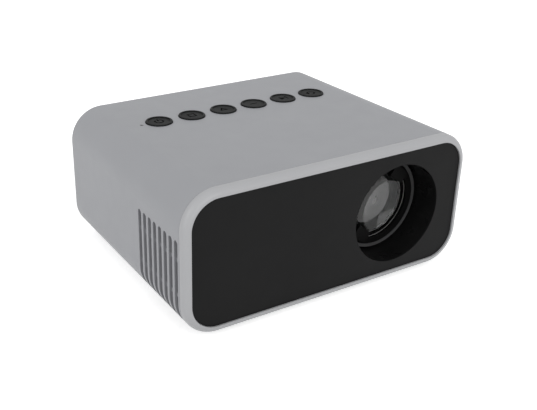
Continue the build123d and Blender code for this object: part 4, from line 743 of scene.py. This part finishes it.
def turnedGlass(nodeName, element):
    low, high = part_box(nodeName)
    centreX = (low[0] + high[0]) / 2
    centreZ = (low[2] + high[2]) / 2
    rim = (high[0] - low[0]) / 2
    clearFront = rim - element["land"]
    clearRear = rim - element["rearLand"]
    frontEdge = low[1] + max(faceDepth(element["curve"], clearFront), 0)
    rearEdge = high[1] - max(faceDepth(element["rearCurve"], clearRear), 0)
    section = groundFace(frontEdge, element["curve"], clearFront, 1)
    section += [(rim, frontEdge), (rim, rearEdge)]
    section += reversed(groundFace(rearEdge, element["rearCurve"], clearRear, -1))

    shape = bmesh.new()
    points = [shape.verts.new((centreX + radius, y, centreZ)) for radius, y in section]
    for first, second in zip(points, points[1:]):
        shape.edges.new((first, second))
    bmesh.ops.spin(shape, geom=shape.verts[:] + shape.edges[:], cent=(centreX, 0, centreZ), axis=(0, 1, 0),
                   dvec=(0, 0, 0), angle=2 * math.pi, steps=lensGlass["turnSteps"], use_merge=True)
    bmesh.ops.remove_doubles(shape, verts=shape.verts[:], dist=lensGlass["weldDistance"])
    bmesh.ops.recalc_face_normals(shape, faces=shape.faces[:])

    # the edge and the flat lands are ground matt
    rimStart = frontEdge - lensGlass["rimTolerance"]
    rimEnd = rearEdge + lensGlass["rimTolerance"]
    for face in shape.faces:
        face.smooth = True
        middle = face.calc_center_median()
        outside = math.hypot(middle.x - centreX, middle.z - centreZ) > min(clearFront, clearRear)
        if outside and all(rimStart < vert.co.y < rimEnd for vert in face.verts):
            face.material_index = 1
    for edge in shape.edges:
        edge.smooth = edge.calc_face_angle(0) < math.radians(lensGlass["sharpAngle"])

    mesh = bpy.data.meshes.new("turned_" + nodeName)
    shape.to_mesh(mesh)
    shape.free()
    mesh.materials.append(finishes["glass"])
    mesh.materials.append(finishes["ground"])
    glass = bpy.data.objects.new("turned_" + nodeName, mesh)
    bpy.context.scene.collection.objects.link(glass)
    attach(glass, "lens_cell")
    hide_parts(nodeName)


for nodeName, element in lensGlass["elements"].items():
    turnedGlass(nodeName, element)
print("lens glass turned:", len(lensGlass["elements"]), "elements")

studio = {
    "world": 0.72,
    "floorColor": (0.8, 0.8, 0.8),
    "floorGlow": 0.6,
    "floorHalf": 6,
    "aim": (0, 0, 0.03),
    "lamps": [
        {"name": "topSoftbox", "place": (-0.1, 0.1, 1.3), "size": 1.2, "power": 0.7},
        {"name": "frontSoftbox", "place": (0.1, -1.35, 0.55), "size": 1.0, "power": 6.2},
        {"name": "leftSoftbox", "place": (-1.4, -0.2, 0.7), "size": 1.0, "power": 5.2},
    ],
}


def seenDirectly(tree):
    # 1 where the camera, a reflection or clear glass looks straight at it
    path = tree.nodes.new("ShaderNodeLightPath")
    value = path.outputs["Is Camera Ray"]
    for ray in ("Is Glossy Ray", "Is Transmission Ray"):
        either = tree.nodes.new("ShaderNodeMath")
        either.operation = "MAXIMUM"
        tree.links.new(value, either.inputs[0])
        tree.links.new(path.outputs[ray], either.inputs[1])
        value = either.outputs["Value"]
    return value


def makeWorld():
    world = bpy.data.worlds.new("studioWorld")
    bpy.context.scene.world = world
    world.use_nodes = True
    tree = world.node_tree
    background = tree.nodes["Background"]
    background.inputs["Color"].default_value = (1, 1, 1, 1)
    level = tree.nodes.new("ShaderNodeMapRange")
    level.inputs["To Min"].default_value = studio["world"]
    level.inputs["To Max"].default_value = 1
    tree.links.new(seenDirectly(tree), level.inputs["Value"])
    tree.links.new(level.outputs["Result"], background.inputs["Strength"])


def makeFloor():
    mesh = bpy.data.meshes.new("floor")
    grid = bmesh.new()
    bmesh.ops.create_grid(grid, x_segments=1, y_segments=1, size=studio["floorHalf"])
    grid.to_mesh(mesh)
    grid.free()
    floor = bpy.data.objects.new("floor", mesh)
    bpy.context.scene.collection.objects.link(floor)
    paint = bpy.data.materials.new("floorPaper")
    paint.use_nodes = True
    tree = paint.node_tree
    tree.nodes.remove(tree.nodes["Principled BSDF"])
    paper = tree.nodes.new("ShaderNodeBsdfDiffuse")
    paper.inputs["Color"].default_value = (*studio["floorColor"], 1)
    glow = tree.nodes.new("ShaderNodeEmission")
    level = tree.nodes.new("ShaderNodeMath")
    level.operation = "MULTIPLY"
    level.inputs[1].default_value = studio["floorGlow"]
    tree.links.new(seenDirectly(tree), level.inputs[0])
    tree.links.new(level.outputs["Value"], glow.inputs["Strength"])
    both = tree.nodes.new("ShaderNodeAddShader")
    tree.links.new(paper.outputs["BSDF"], both.inputs[0])
    tree.links.new(glow.outputs["Emission"], both.inputs[1])
    tree.links.new(both.outputs["Shader"], tree.nodes["Material Output"].inputs["Surface"])
    mesh.materials.append(paint)


def makeLamps():
    target = Vector(studio["aim"])
    for lamp in studio["lamps"]:
        light = bpy.data.lights.new(lamp["name"], "AREA")
        light.shape = "SQUARE"
        light.size = lamp["size"]
        light.energy = lamp["power"]
        holder = bpy.data.objects.new(lamp["name"], light)
        bpy.context.scene.collection.objects.link(holder)
        place = Vector(lamp["place"])
        turn = (target - place).to_track_quat("-Z", "Y").to_matrix().to_4x4()
        holder.matrix_world = Matrix.Translation(place) @ turn


makeWorld()
makeFloor()
makeLamps()
bpy.context.scene.view_settings.view_transform = "Standard"
print("studio lit")
